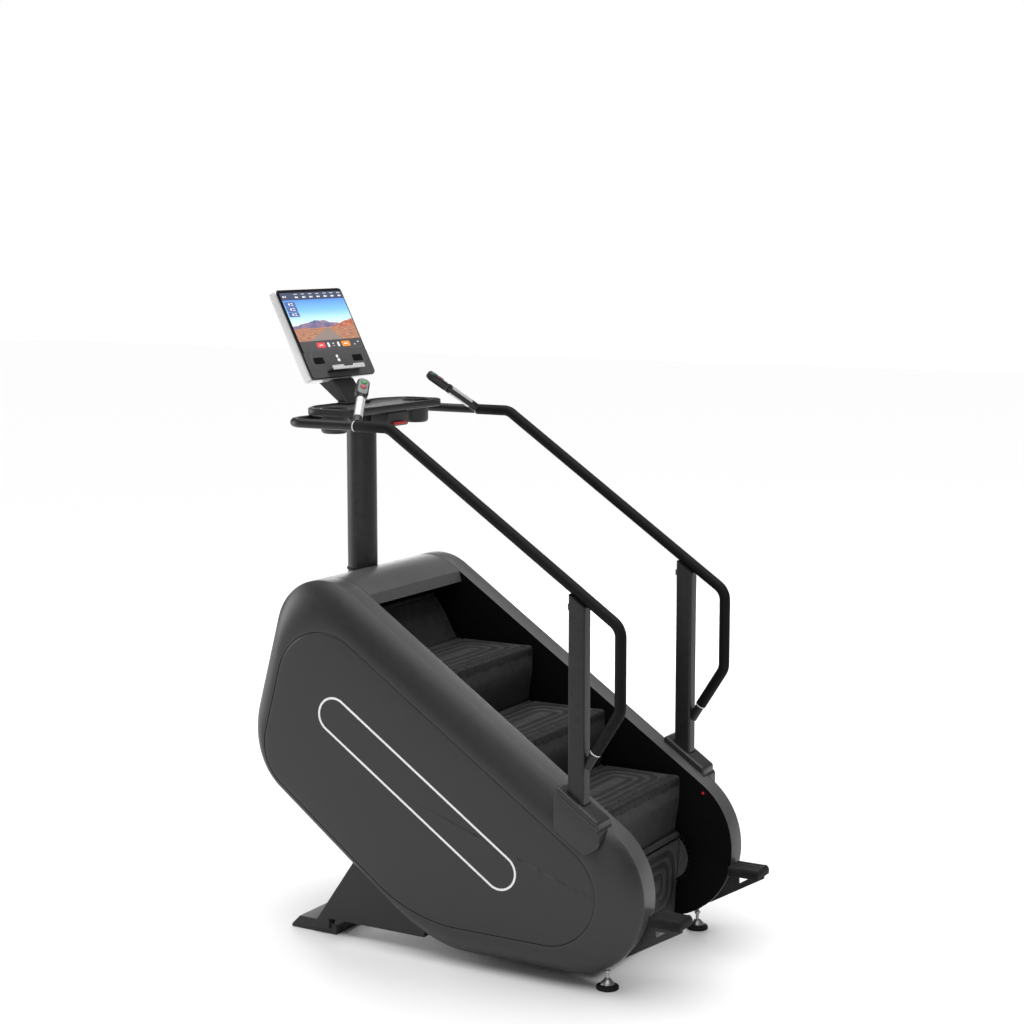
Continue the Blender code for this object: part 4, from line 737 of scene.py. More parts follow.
def ridge_tree():
    tree = bpy.data.node_groups.new("nested_ridges", "GeometryNodeTree")
    ids = {
        "Geometry": input_socket(tree, "Geometry", "NodeSocketGeometry"),
        "Length": input_socket(tree, "Length", "NodeSocketFloat", 0.48),
        "Depth": input_socket(tree, "Depth", "NodeSocketFloat", 0.21),
        "Spacing Across": input_socket(tree, "Spacing Across", "NodeSocketFloat", 0.046),
        "Spacing Along": input_socket(tree, "Spacing Along", "NodeSocketFloat", 0.035),
        "Ridge Width": input_socket(tree, "Ridge Width", "NodeSocketFloat", 0.026),
        "Ridge Height": input_socket(tree, "Ridge Height", "NodeSocketFloat", 0.0016),
        "Finish": input_socket(tree, "Finish", "NodeSocketMaterial"),
    }
    tree.interface.new_socket(name="Geometry", in_out="OUTPUT", socket_type="NodeSocketGeometry")
    nodes, links = tree.nodes, tree.links
    given, result = nodes.new("NodeGroupInput"), nodes.new("NodeGroupOutput")

    def less(total, spacing, times):
        made = nodes.new("ShaderNodeMath")
        made.operation = "MULTIPLY_ADD"
        links.new(given.outputs[spacing], made.inputs[0])
        made.inputs[1].default_value = -2.0 * times
        links.new(given.outputs[total], made.inputs[2])
        return made.outputs[0]

    join = nodes.new("GeometryNodeJoinGeometry")
    for loop, corner in ((0, 0.070), (1, 0.045), (2, 0.022)):
        box = nodes.new("GeometryNodeCurvePrimitiveQuadrilateral")
        links.new(less("Length", "Spacing Across", loop), box.inputs["Width"])
        links.new(less("Depth", "Spacing Along", loop), box.inputs["Height"])
        bend = nodes.new("GeometryNodeFilletCurve")
        bend.mode = "POLY"
        bend.inputs["Count"].default_value = 9
        bend.inputs["Radius"].default_value = corner
        bend.inputs["Limit Radius"].default_value = True
        links.new(box.outputs["Curve"], bend.inputs["Curve"])
        links.new(bend.outputs["Curve"], join.inputs["Geometry"])
    profile = nodes.new("GeometryNodeCurvePrimitiveCircle")
    profile.inputs["Resolution"].default_value = 12
    half = nodes.new("ShaderNodeMath")
    half.operation = "MULTIPLY"
    half.inputs[1].default_value = 0.5
    links.new(given.outputs["Ridge Width"], half.inputs[0])
    links.new(half.outputs[0], profile.inputs["Radius"])
    swept = nodes.new("GeometryNodeCurveToMesh")
    links.new(join.outputs["Geometry"], swept.inputs["Curve"])
    links.new(profile.outputs["Curve"], swept.inputs["Profile Curve"])
    flat = nodes.new("ShaderNodeMath")
    flat.operation = "DIVIDE"
    links.new(given.outputs["Ridge Height"], flat.inputs[0])
    links.new(half.outputs[0], flat.inputs[1])
    scale = nodes.new("ShaderNodeCombineXYZ")
    scale.inputs["X"].default_value = scale.inputs["Y"].default_value = 1.0
    links.new(flat.outputs[0], scale.inputs["Z"])
    flatten = nodes.new("GeometryNodeTransform")
    links.new(swept.outputs["Mesh"], flatten.inputs["Geometry"])
    links.new(scale.outputs[0], flatten.inputs["Scale"])
    real = nodes.new("GeometryNodeRealizeInstances")
    links.new(flatten.outputs["Geometry"], real.inputs["Geometry"])
    paint = nodes.new("GeometryNodeSetMaterial")
    links.new(real.outputs["Geometry"], paint.inputs["Geometry"])
    links.new(given.outputs["Finish"], paint.inputs["Material"])
    links.new(paint.outputs["Geometry"], result.inputs["Geometry"])
    return tree, ids


def grow(tree, ids, base_mesh=None, **values):
    """Runs a tree on a throwaway object and returns the plain mesh that it makes."""
    carrier = bpy.data.objects.new("carrier", base_mesh or bpy.data.meshes.new("carrier"))
    bpy.context.scene.collection.objects.link(carrier)
    step = carrier.modifiers.new("grow", "NODES")
    step.node_group = tree
    for key, value in values.items():
        step[ids[key.replace("_", " ").title()]] = value
    bpy.context.view_layer.update()
    made = bpy.data.meshes.new_from_object(carrier.evaluated_get(bpy.context.evaluated_depsgraph_get()))
    carrier.modifiers.remove(step)
    bpy.data.objects.remove(carrier, do_unlink=True)
    return made


RIDGE_TREE, RIDGE_IDS = ridge_tree()
ridges = grow(RIDGE_TREE, RIDGE_IDS, length=0.478, depth=0.210, finish=STEP)
print("ridge faces on one tread:", len(ridges.polygons))

# %% [markdown]
# At each nose the tread and the riser interlock: fingers of one wrap over the hinge between
# fingers of the other. One finger of each kind is modelled, and a second tree repeats it in a row
# across the step.

# %% One finger
def finger(width, over_top, down_front, raised, round_top, round_front):
    """A raised pad that wraps the nose: over the tread, round the barrel and down the riser."""
    columns, rows = 12, 26
    outer_r, inner_r = BARREL + raised, BARREL - 0.0015
    form = bmesh.new()
    layers = []
    for radius in (outer_r, inner_r):
        grid = []
        for j in range(columns + 1):
            w = -width / 2 + width * j / columns
            line = []
            top_back = round_corner(w, width, round_top)
            front_back = round_corner(w, width, round_front)
            length_top, length_front = over_top - top_back, down_front - front_back
            total = length_top + math.pi / 2 * BARREL + length_front
            for i in range(rows + 1):
                s = total * i / rows
                if s < length_top:
                    spot = (w, length_top - s, radius)
                elif s < length_top + math.pi / 2 * BARREL:
                    a = (s - length_top) / BARREL
                    spot = (w, -math.sin(a) * radius, math.cos(a) * radius)
                else:
                    spot = (w, -radius, -(s - length_top - math.pi / 2 * BARREL))
                line.append(form.verts.new(spot))
            grid.append(line)
        layers.append(grid)
    for layer in layers:
        for j in range(columns):
            for i in range(rows):
                form.faces.new((layer[j][i], layer[j + 1][i], layer[j + 1][i + 1], layer[j][i + 1]))
    top, low = layers
    for i in range(rows):
        for j in (0, columns):
            form.faces.new((top[j][i], top[j][i + 1], low[j][i + 1], low[j][i]))
    for j in range(columns):
        for i in (0, rows):
            form.faces.new((top[j][i], top[j + 1][i], low[j + 1][i], low[j][i]))
    bmesh.ops.recalc_face_normals(form, faces=form.faces)
    mesh = bpy.data.meshes.new("finger")
    form.to_mesh(mesh)
    form.free()
    return mesh


def round_corner(w, width, radius):
    """How far a rounded end falls back at a distance w from the middle."""
    past = max(0.0, abs(w) - (width / 2 - radius))
    return radius - math.sqrt(max(0.0, radius ** 2 - past ** 2))


FINGER_PITCH, FINGER_GAP = 0.105, 0.0030
finger_width = FINGER_PITCH / 2 - FINGER_GAP
tread_finger = finger(finger_width, 0.030, 0.017, 0.0019, 0.0015, 0.009)
riser_finger = finger(finger_width, 0.026, 0.021, 0.0019, 0.014, 0.0015)
edge_finger = finger(0.030, 0.026, 0.021, 0.0019, 0.010, 0.0015)
print("finger faces:", len(tread_finger.polygons))


# %% A tree for rows
def row_tree():
    tree = bpy.data.node_groups.new("row_of_pieces", "GeometryNodeTree")
    ids = {
        "Geometry": input_socket(tree, "Geometry", "NodeSocketGeometry"),
        "Piece": input_socket(tree, "Piece", "NodeSocketObject"),
        "Count": input_socket(tree, "Count", "NodeSocketInt", 5),
        "Start": input_socket(tree, "Start", "NodeSocketVector"),
        "Step": input_socket(tree, "Step", "NodeSocketVector"),
        "Finish": input_socket(tree, "Finish", "NodeSocketMaterial"),
    }
    tree.interface.new_socket(name="Geometry", in_out="OUTPUT", socket_type="NodeSocketGeometry")
    nodes, links = tree.nodes, tree.links
    given, result = nodes.new("NodeGroupInput"), nodes.new("NodeGroupOutput")
    line = nodes.new("GeometryNodeMeshLine")
    line.mode = "OFFSET"
    links.new(given.outputs["Count"], line.inputs["Count"])
    links.new(given.outputs["Start"], line.inputs["Start Location"])
    links.new(given.outputs["Step"], line.inputs["Offset"])
    piece = nodes.new("GeometryNodeObjectInfo")
    links.new(given.outputs["Piece"], piece.inputs["Object"])
    spread = nodes.new("GeometryNodeInstanceOnPoints")
    links.new(line.outputs["Mesh"], spread.inputs["Points"])
    links.new(piece.outputs["Geometry"], spread.inputs["Instance"])
    real = nodes.new("GeometryNodeRealizeInstances")
    links.new(spread.outputs["Instances"], real.inputs["Geometry"])
    paint = nodes.new("GeometryNodeSetMaterial")
    links.new(real.outputs["Geometry"], paint.inputs["Geometry"])
    links.new(given.outputs["Finish"], paint.inputs["Material"])
    links.new(paint.outputs["Geometry"], result.inputs["Geometry"])
    return tree, ids


ROW_TREE, ROW_IDS = row_tree()


def row_of(mesh, count, start, step, look):
    """A mesh repeated in a row, as one plain mesh."""
    pattern = bpy.data.objects.new("pattern", mesh)
    bpy.context.scene.collection.objects.link(pattern)
    made = grow(ROW_TREE, ROW_IDS, piece=pattern, count=count, start=start, step=step, finish=look)
    bpy.data.objects.remove(pattern, do_unlink=True)
    return made


along_x = (FINGER_PITCH, 0, 0)
finger_rows = [
    row_of(tread_finger, 5, (-2 * FINGER_PITCH, 0, 0), along_x, STEP),
    row_of(riser_finger, 4, (-1.5 * FINGER_PITCH, 0, 0), along_x, STEP),
    row_of(edge_finger, 2, (-0.2545, 0, 0), (0.509, 0, 0), STEP),
]
print("faces in the finger rows:", sum(len(m.polygons) for m in finger_rows))


# %% [markdown]
# Each step is put together from its plate, its ridges and its fingers. The steps on the straight
# run ride as tread and riser together. The fifth hangs from its axle at the foot of the run, and
# three more on the return run ride as one.

# %% Steps
def add_mesh(form, mesh, matrix):
    copy = mesh.copy()
    copy.transform(matrix)
    form.from_mesh(copy)
    bpy.data.meshes.remove(copy)


def add_outline(form, outline, matrix, low_x=-STEP_HALF_WIDTH, high_x=STEP_HALF_WIDTH):
    part = solid(outline, low_x, high_x)
    mesh = bpy.data.meshes.new("part")
    part.to_mesh(mesh)
    part.free()
    add_mesh(form, mesh, matrix)


RIDGES_AT = Matrix.Translation((0, -STEP_RUN / 2, BARREL - 0.0001))


def make_tread(i, gap, with_fingers):
    form = bmesh.new()
    add_outline(form, tread_outline(gap), tread_pose(i))
    add_mesh(form, ridges, tread_pose(i) @ RIDGES_AT)
    if with_fingers:
        nose = tread_pose(i) @ Matrix.Translation((0, -STEP_RUN, 0))
        for row in finger_rows:
            add_mesh(form, row, nose)
    return form


def make_riser(i, gap):
    form = bmesh.new()
    add_outline(form, riser_outline(gap), riser_pose(i))
    return form


for i in range(5):
    body = f"step_{i + 1}"
    gap = BARREL + (0.012 if i == 0 else 0.006)
    place(f"tread_{i + 1}_moulding", make_tread(i, gap, i in (1, 2, 3)), STEP, body, f"tread_{i + 1}",
          slot="step_grey", sharp=38)
    place(f"riser_{i + 1}_moulding", make_riser(i, BARREL + 0.001), STEP, body, f"riser_{i + 1}",
          slot="step_grey", sharp=38)
return_form = bmesh.new()
for i in (5, 6, 7):
    gap = BARREL + 0.012 if i == 5 else 0.004
    add_outline(return_form, tread_outline(gap), tread_pose(i))
    add_mesh(return_form, ridges, tread_pose(i) @ RIDGES_AT)
    add_outline(return_form, riser_outline(BARREL * 0.3), riser_pose(i))
place("return_steps_moulding", return_form, STEP, "return_steps", "return_steps", slot="step_grey", sharp=38)
print("steps placed, pitch", round(STEP_PITCH, 4))

# %% [markdown]
# ## Chains and drive
# Two roller chains carry the axles. One link is a pair of waisted plates with a roller; a third
# tree sets copies along the chain's loop, each turned to follow it.

# %% A tree for links on a path
def path_tree():
    tree = bpy.data.node_groups.new("links_on_a_path", "GeometryNodeTree")
    ids = {
        "Geometry": input_socket(tree, "Geometry", "NodeSocketGeometry"),
        "Piece": input_socket(tree, "Piece", "NodeSocketObject"),
        "Count": input_socket(tree, "Count", "NodeSocketInt", 100),
        "Finish": input_socket(tree, "Finish", "NodeSocketMaterial"),
    }
    tree.interface.new_socket(name="Geometry", in_out="OUTPUT", socket_type="NodeSocketGeometry")
    nodes, links = tree.nodes, tree.links
    given, result = nodes.new("NodeGroupInput"), nodes.new("NodeGroupOutput")
    curve = nodes.new("GeometryNodeMeshToCurve")
    links.new(given.outputs["Geometry"], curve.inputs["Mesh"])
    points = nodes.new("GeometryNodeCurveToPoints")
    points.mode = "COUNT"
    links.new(curve.outputs["Curve"], points.inputs["Curve"])
    links.new(given.outputs["Count"], points.inputs["Count"])
    turn = nodes.new("FunctionNodeAlignRotationToVector")
    turn.axis = "Y"
    turn.pivot_axis = "X"
    links.new(points.outputs["Tangent"], turn.inputs["Vector"])
    piece = nodes.new("GeometryNodeObjectInfo")
    links.new(given.outputs["Piece"], piece.inputs["Object"])
    spread = nodes.new("GeometryNodeInstanceOnPoints")
    links.new(points.outputs["Points"], spread.inputs["Points"])
    links.new(piece.outputs["Geometry"], spread.inputs["Instance"])
    links.new(turn.outputs["Rotation"], spread.inputs["Rotation"])
    real = nodes.new("GeometryNodeRealizeInstances")
    links.new(spread.outputs["Instances"], real.inputs["Geometry"])
    paint = nodes.new("GeometryNodeSetMaterial")
    links.new(real.outputs["Geometry"], paint.inputs["Geometry"])
    links.new(given.outputs["Finish"], paint.inputs["Material"])
    links.new(paint.outputs["Geometry"], result.inputs["Geometry"])
    return tree, ids


def chain_link():
    """Two waisted plates and a roller, lying along Y."""
    form = bmesh.new()
    pitch, radius, waist = 0.0191, 0.0062, 0.0044
    outline = []
    for centre, first in ((pitch / 2, -70), (-pitch / 2, 110)):
        for i in range(6):
            a = math.radians(first + 140 * i / 5)
            outline.append(Vector((centre + math.cos(a) * radius, math.sin(a) * radius)))
        outline.append(Vector((0, waist if first < 0 else -waist)))
    for low in (-0.0040, 0.0026):
        solid(outline, low, low + 0.0014, form)
    roller = [Vector((pitch / 2 + math.cos(a) * 0.0048, math.sin(a) * 0.0048))
              for a in (2 * math.pi * i / 8 for i in range(8))]
    solid(roller, -0.0026, 0.0026, form)
    bmesh.ops.recalc_face_normals(form, faces=form.faces)
    mesh = bpy.data.meshes.new("link")
    form.to_mesh(mesh)
    form.free()
    return mesh


PATH_TREE, PATH_IDS = path_tree()
CHAIN_X = 0.282
total = 2 * (STRAIGHT + math.pi * CHAIN_RADIUS)
spots = [chain_point(total * i / 400) for i in range(400)]
loop_mesh = bpy.data.meshes.new("chain_loop")
loop_mesh.from_pydata([(0, *p) for p in spots], [(i, (i + 1) % 400) for i in range(400)], [])
pattern = bpy.data.objects.new("link_pattern", chain_link())
bpy.context.scene.collection.objects.link(pattern)
links_mesh = grow(PATH_TREE, PATH_IDS, loop_mesh, piece=pattern, count=round(total / 0.0191),
                  finish=DARK_STEEL)
bpy.data.objects.remove(pattern, do_unlink=True)
chain = bmesh.new()
add_mesh(chain, links_mesh, Matrix.Translation((-CHAIN_X, 0, 0)))
place_both("roller_chain", chain, DARK_STEEL, stands_for="step_chain", slot="steel", sharp=30)
print("links on each chain:", round(total / 0.0191))

# %% Hidden drive and frame pieces keep their shape and get a finish
KEPT = {
    FRAME: ("side_plate_left", "side_plate_right", "middle_tube", "rear_tube", "column_beam", "drive_motor"),
    STEEL: ("drive_shaft", "idler_shaft", "motor_pulley"),
    RUBBER: ("drive_belt",),
    MOULDED: ("power_inlet",),
}
for look, names in KEPT.items():
    for name in names:
        for slot_index in range(max(1, len(NODES[name].data.materials))):
            if NODES[name].data.materials:
                NODES[name].data.materials[slot_index] = look
            else:
                NODES[name].data.materials.append(look)
print("kept nodes:", sum(len(names) for names in KEPT.values()))

# %% [markdown]
# ## Feet
# Two levelling feet stand under the rear of the pods: a rubber pad with a steel cone, a threaded
# stud and a lock nut. At the front a bevelled bar lies across the floor on two sloping legs.

# %% Levelling feet
FOOT_X = 0.348
pad_profile = [(0, 0.017), (0.012, 0.017), (0.026, 0.0145), (0.036, 0.0115), (0.038, 0.009), (0.038, 0.002),
               (0.0365, 0.0), (0, 0.0)]
place_both("foot_pad", turned(pad_profile, (-FOOT_X, 0)), RUBBER, stands_for="levelling_foot",
           slot="rubber_black")
stud_profile = [(0, 0.124), (0.0052, 0.124), (0.006, 0.1232)]
for i in range(24):
    low = 0.1225 - i * 0.0030
    stud_profile += [(0.0060, low), (0.0051, low - 0.0010), (0.0060, low - 0.0020)]
stud_profile += [(0.0060, 0.036), (0.0105, 0.035), (0.0135, 0.030), (0.022, 0.0215), (0.024, 0.0165), (0, 0.0165)]
stud = turned(stud_profile, (-FOOT_X, 0), sides=28)
nut = [Vector((-FOOT_X + 0.0105 * math.cos(a), 0.0105 * math.sin(a)))
       for a in (math.pi / 3 * i for i in range(6))]
slab(nut, 0.055, 0.063, stud)
place_both("foot_stud", stud, ZINC, sharp=25)
print("stud rings:", len(stud_profile))

# %% Front foot
bar_profile = plane_points((1.075, 0), (1.270, 0), (1.270, 0.010), (1.235, 0.045), (1.105, 0.045), (1.075, 0.030))
foot = solid(bar_profile, -0.362, 0.362)
SOLE_Y, LEG_LOW, LEG_HIGH = 1.175, 0.3263, 0.3713
leg_outline = plane_points((SOLE_Y - 0.075, 0.020), (SOLE_Y, 0.020), (SOLE_Y - 0.234, 0.360),
                           (SOLE_Y - 0.375, 0.300), (SOLE_Y - 0.475, 0.160), (SOLE_Y - 0.475, 0.058),
                           (SOLE_Y - 0.075, 0.058))
for low, high in ((-LEG_HIGH, -LEG_LOW), (LEG_LOW, LEG_HIGH)):
    solid(leg_outline, low, high, foot)
place("front_foot_welded", foot, FRAME, stands_for="front_foot", slot="frame_black", bevel=0.0035, sharp=30)
print("front foot width:", 0.724)

# %% [markdown]
# The foot pegs at the entry are pads with lengthwise ridges, on a gusset with a triangular window.

# %% Foot pegs
PEG_X, PEG_WIDTH, PEG_TOP = 0.3135, 0.095, 0.273
peg_low_x, peg_rear, peg_front = -PEG_X - PEG_WIDTH / 2, -0.268, -0.1525


def peg_profile(crest, steps=44):
    """The pad's cross-section: four soft ridges over a flat bottom."""
    points = []
    for i in range(steps + 1):
        across = i / steps
        wave = 0.5 - 0.5 * math.cos(2 * math.pi * 4 * across)
        edge = min(1.0, min(across, 1 - across) * 14)
        points.append((peg_low_x + PEG_WIDTH * across, PEG_TOP - crest * (1 - wave) - 0.006 * (1 - edge) ** 2))
    return points + [(peg_low_x + PEG_WIDTH, PEG_TOP - 0.032), (peg_low_x + PEG_WIDTH - 0.002, PEG_TOP - 0.034),
                     (peg_low_x + 0.002, PEG_TOP - 0.034), (peg_low_x, PEG_TOP - 0.032)]


peg_rings = []
for y, crest, drop in ((peg_rear, 0.0, 0.010), (peg_rear + 0.003, 0.0, 0.004), (peg_rear + 0.009, 0.0, 0.0),
                       (peg_rear + 0.018, 0.0035, 0.0), (peg_front, 0.0035, 0.0)):
    peg_rings.append([(x, y, z - drop if z > PEG_TOP - 0.02 else z + drop * 0.3)
                      for x, z in peg_profile(crest)])
place_both("peg_pad", loft(peg_rings), RUBBER, sharp=50)


def window_plate(outline, window, low_x, high_x):
    """A flat plate with one hole, filled between its two outlines."""
    form = bmesh.new()
    edges = []
    for ring in (outline, window):
        spots = [form.verts.new((low_x, *p)) for p in ring]
        edges += [form.edges.new((spots[i], spots[(i + 1) % len(spots)])) for i in range(len(spots))]
    bmesh.ops.triangle_fill(form, use_beauty=True, edges=edges)
    moved = bmesh.ops.extrude_face_region(form, geom=form.faces[:])
    shifted = [v for v in moved["geom"] if isinstance(v, bmesh.types.BMVert)]
    bmesh.ops.translate(form, vec=(high_x - low_x, 0, 0), verts=shifted)
    return form


gusset_outline = plane_points((-0.262, 0.229), (-0.066, 0.115), (-0.028, 0.098), (-0.028, 0.245), (-0.262, 0.245))
gusset_window = plane_points((-0.204, 0.220), (-0.168, 0.197), (-0.168, 0.220))
place_both("peg_gusset", window_plate(gusset_outline, gusset_window, -0.3363, -0.3263), FRAME,
           stands_for="foot_peg", slot="frame_black", bevel=0.0012, sharp=30)
print("peg rings:", len(peg_rings))

# %% [markdown]
# ## Posts and boots
# The posts are rectangular tubes with rounded corners. A moulded boot covers each post's foot: a
# pocket set into the shell, and a cuff round the tube that follows the pod's slope.

# %% Posts
RAIL_SLOPE = math.tan(STEP_ANGLE)
RAIL_TOP_Z, RAIL_KNEE_Y, RAIL_REAR_Y, RAIL_FRONT_Y = 1.820, 0.812, -0.067, 1.228
SLEEVE_RADIUS, RAIL_RADIUS = 0.019, 0.016
post_low, post_high = POST_Y - POST_DEPTH / 2, POST_Y + POST_DEPTH / 2
tube_corners = plane_points((-POST_X - POST_WIDTH / 2, post_low), (-POST_X + POST_WIDTH / 2, post_low),
                            (-POST_X + POST_WIDTH / 2, post_high), (-POST_X - POST_WIDTH / 2, post_high))
section = rounded(tube_corners, 0.008, 8)
reach = (SLEEVE_RADIUS + 0.0003) / math.cos(STEP_ANGLE) + 0.001
bottom_ring = [(p.x, p.y, 0.360) for p in section]
top_ring = [(p.x, p.y, RAIL_TOP_Z - (RAIL_KNEE_Y - p.y) * RAIL_SLOPE - reach) for p in section]
place_both("post_tube", loft([bottom_ring, top_ring]), POST, stands_for="post", slot="post_grey", sharp=40)
print("post section points:", len(section))

# %% Boots
def pod_top_z(y):
    return meet(*pod_lines()[0], Vector((y, 0)), Vector((0, 1))).y


BOOT_FRONT_Y, BOOT_REAR_Y = POST_Y + 0.0675, POST_Y - 0.1005


def pocket_outline(inset):
    """The pocket that the boot sets into the pod, in side view."""
    front, rear = BOOT_FRONT_Y - inset, BOOT_REAR_Y + inset
    corners = [Vector((front, pod_top_z(front) + 0.003 - inset)), Vector((rear, pod_top_z(rear) + 0.003 - inset)),
               Vector((rear, pod_top_z(rear) - 0.050)),
               Vector((POST_Y - 0.048, pod_top_z(POST_Y - 0.0525) - 0.120 + inset)),
               Vector((front, pod_top_z(front) - 0.125 + inset))]
    return rounded(corners, [max(r - inset, 0.002) for r in (0.012, 0.018, 0.030, 0.028, 0.020)], 8)


def cuff_outline(inset):
    """The cuff round the post's foot, which follows the pod's slope."""
    front, rear = BOOT_FRONT_Y - 0.003 - inset, BOOT_REAR_Y + 0.006 + inset
    corners = [Vector((front, pod_top_z(front) + 0.026 - inset)), Vector((rear, pod_top_z(rear) + 0.026 - inset)),
               Vector((rear, pod_top_z(rear) - 0.020 + inset)), Vector((front, pod_top_z(front) - 0.020 + inset))]
    return rounded(corners, [max(r - inset, 0.002) for r in (0.010, 0.014, 0.006, 0.006)], 8)


def rolled_rim(edge, rows=5):
    """Pairs of depth and inset down a quarter circle, from a face to its side."""
    turns = [math.pi / 2 * i / rows for i in range(rows + 1)]
    return [(edge * (1 - math.cos(a)), edge * (1 - math.sin(a))) for a in turns]


def soft_slab(outline_of, inner_x, outer_x, edge, form):
    """A thick plate whose rims roll over at both of its faces."""
    rim = rolled_rim(edge)
    inner = [[(-(inner_x + depth), *p) for p in outline_of(inset)] for depth, inset in rim]
    outer = [[(-(outer_x - depth), *p) for p in outline_of(inset)] for depth, inset in reversed(rim)]
    return loft(inner + outer, form=form)


boot = soft_slab(pocket_outline, 0.350, 0.4505, 0.005, bmesh.new())
soft_slab(cuff_outline, 0.357, 0.4455, 0.008, boot)
place_both("post_boot_moulding", boot, SHELL, stands_for="post_boot", slot="shell_grey", sharp=45)
collar_section = rounded([Vector((p.x + (0.003 if p.x > -POST_X else -0.003),
                                  p.y + (0.003 if p.y > POST_Y else -0.003))) for p in tube_corners], 0.010, 8)
collar = loft([[(p.x, p.y, pod_top_z(p.y) + rise) for p in collar_section] for rise in (0.020, 0.0285)])
place_both("boot_collar", collar, RUBBER, sharp=40, bevel=0.001)
print("boot reaches", round(BOOT_FRONT_Y - BOOT_REAR_Y, 3))

# %% [markdown]
# ## Handrails
# Each rail is one bent tube: from the column, round the front corner, level to the knee, down the
# slope of the stairs, and back up to the post. A soft sleeve covers it from the grip to the return.

# %% Rails and sleeves
RETURN_ANGLE = math.radians(58)
rail_rear_z = RAIL_TOP_Z - (RAIL_KNEE_Y - RAIL_REAR_Y) * RAIL_SLOPE
rail_end_y = POST_Y - POST_DEPTH / 2 - 0.0003 - RAIL_RADIUS * math.sin(RETURN_ANGLE)
rail_end_z = 0.945 - (rail_end_y - RAIL_REAR_Y) * math.tan(RETURN_ANGLE)
rail_bends = [Vector((-POST_X, *spot)) for spot in (
    (RAIL_KNEE_Y, RAIL_TOP_Z), (RAIL_REAR_Y, rail_rear_z), (RAIL_REAR_Y, 0.945))]
rail_end = Vector((-POST_X, rail_end_y, rail_end_z))
rail_corners = [Vector((-0.052, RAIL_FRONT_Y, RAIL_TOP_Z)), Vector((-POST_X, RAIL_FRONT_Y, RAIL_TOP_Z))]
away = (rail_end - rail_bends[-1]).normalized()
rail = sweep(rounded_path(rail_corners + rail_bends + [rail_end + away * 0.028], 0.060, 14), RAIL_RADIUS, 32)
place_both("bent_rail", rail, POST, stands_for="handrail", slot="post_grey", sharp=50)

sleeve_foot = rail_end - away * 0.034
sleeve_head = Vector((-POST_X, 0.946, RAIL_TOP_Z))
sleeve_path = rounded_path([sleeve_head] + rail_bends + [sleeve_foot], 0.060, 14)
place_both("soft_sleeve", sweep(sleeve_path, SLEEVE_RADIUS, 32, ends=0.002), RUBBER, stands_for="rail_sleeve",
           slot="rubber_black", sharp=50)
for label, spot, way in (("lower", sleeve_foot, away), ("upper", sleeve_head, Vector((0, 1, 0)))):
    band = sweep([spot + way * 0.0002, spot + way * 0.0042], 0.0185, 32, ends=0.0008)
    place_both(f"sleeve_band_{label}", band, LEDGE, sharp=40)

# A small bracket ties the rail's slope to the head of the post.
lug = solid(plane_points((post_high - 0.002, top_ring[0][2] - 0.027), (post_high + 0.012, top_ring[0][2] - 0.018),
                         (post_high + 0.012, top_ring[0][2] + 0.001), (post_high - 0.002, top_ring[0][2] - 0.006)),
            -POST_X - 0.004, -POST_X + 0.004)
place_both("rail_lug", lug, POST, bevel=0.001)
print("rail length:", round(sum((b - a).length for a, b in zip(rail_corners + rail_bends,
                                                               rail_corners[1:] + rail_bends + [rail_end])), 3))

# %% [markdown]
# ## Grips
# Each grip leans in from the rail: a tube with steel pulse plates, and a flat head that carries a
# green and a red button. Everything on the grip is built upright at the origin and then carried to
# its place by one matrix.

# %% Grips and buttons
GRIP_BASE, GRIP_TIP = Vector((-POST_X, 0.9425, RAIL_TOP_Z)), Vector((-0.210, 1.040, 1.958))
GRIP_WAY = (GRIP_TIP - GRIP_BASE).normalized()
SEEN_FROM = Vector((-0.28, -0.55, 0.78))
GRIP_FACE = (SEEN_FROM - GRIP_WAY * SEEN_FROM.dot(GRIP_WAY)).normalized()
GRIP_SIDE = GRIP_FACE.cross(GRIP_WAY)
HEAD_LENGTH, HEAD_WIDTH, HEAD_DEPTH = 0.095, 0.046, 0.030
HEAD_CENTRE = GRIP_TIP - GRIP_WAY * HEAD_LENGTH / 2


def on_grip(centre):
    """Places a piece made about the centre: X across the head, -Y out of its face, Z along the grip."""
    turn = Matrix((-GRIP_SIDE, -GRIP_FACE, GRIP_WAY)).transposed().to_4x4()
    return Matrix.Translation(centre) @ turn


def standing(outline_of, low, high, edge, form=None):
    """A slab standing along Y, from its outline in X and Z, with rolled rims."""
    rim = rolled_rim(edge)
    near = [[(p.x, low + depth, p.y) for p in outline_of(inset)] for depth, inset in rim]
    far = [[(p.x, high - depth, p.y) for p in outline_of(inset)] for depth, inset in reversed(rim)]
    return loft(near + far, form=form)


def soft_box(half_width, half_height, radius, low=0.0):
    """An outline maker for a rounded rectangle that can shrink."""
    def outline(inset):
        w, h = half_width - inset, half_height - inset
        corners = plane_points((-w, -h + low), (w, -h + low), (w, h + low), (-w, h + low))
        return rounded(corners, max(radius - inset, 0.0006), 6)
    return outline


def moved(form, matrix):
    bmesh.ops.transform(form, matrix=matrix, verts=form.verts)
    return form


neck_length = (HEAD_CENTRE - GRIP_BASE).length
tube_part = turned([(0, -neck_length + 0.014), (0.0165, -neck_length + 0.014), (0.0165, -HEAD_LENGTH / 2 - 0.006),
                    (0.0155, -HEAD_LENGTH / 2), (0, -HEAD_LENGTH / 2)], (0, 0))
head_part = standing(soft_box(HEAD_WIDTH / 2, HEAD_LENGTH / 2, 0.019), -HEAD_DEPTH / 2, HEAD_DEPTH / 2, 0.009)
for label, form in (("grip_tube", tube_part), ("grip_head", head_part)):
    place_both(label, moved(form, on_grip(HEAD_CENTRE)), MOULDED,
               stands_for="grip" if label == "grip_head" else None,
               slot="moulded_black" if label == "grip_head" else None, sharp=45)

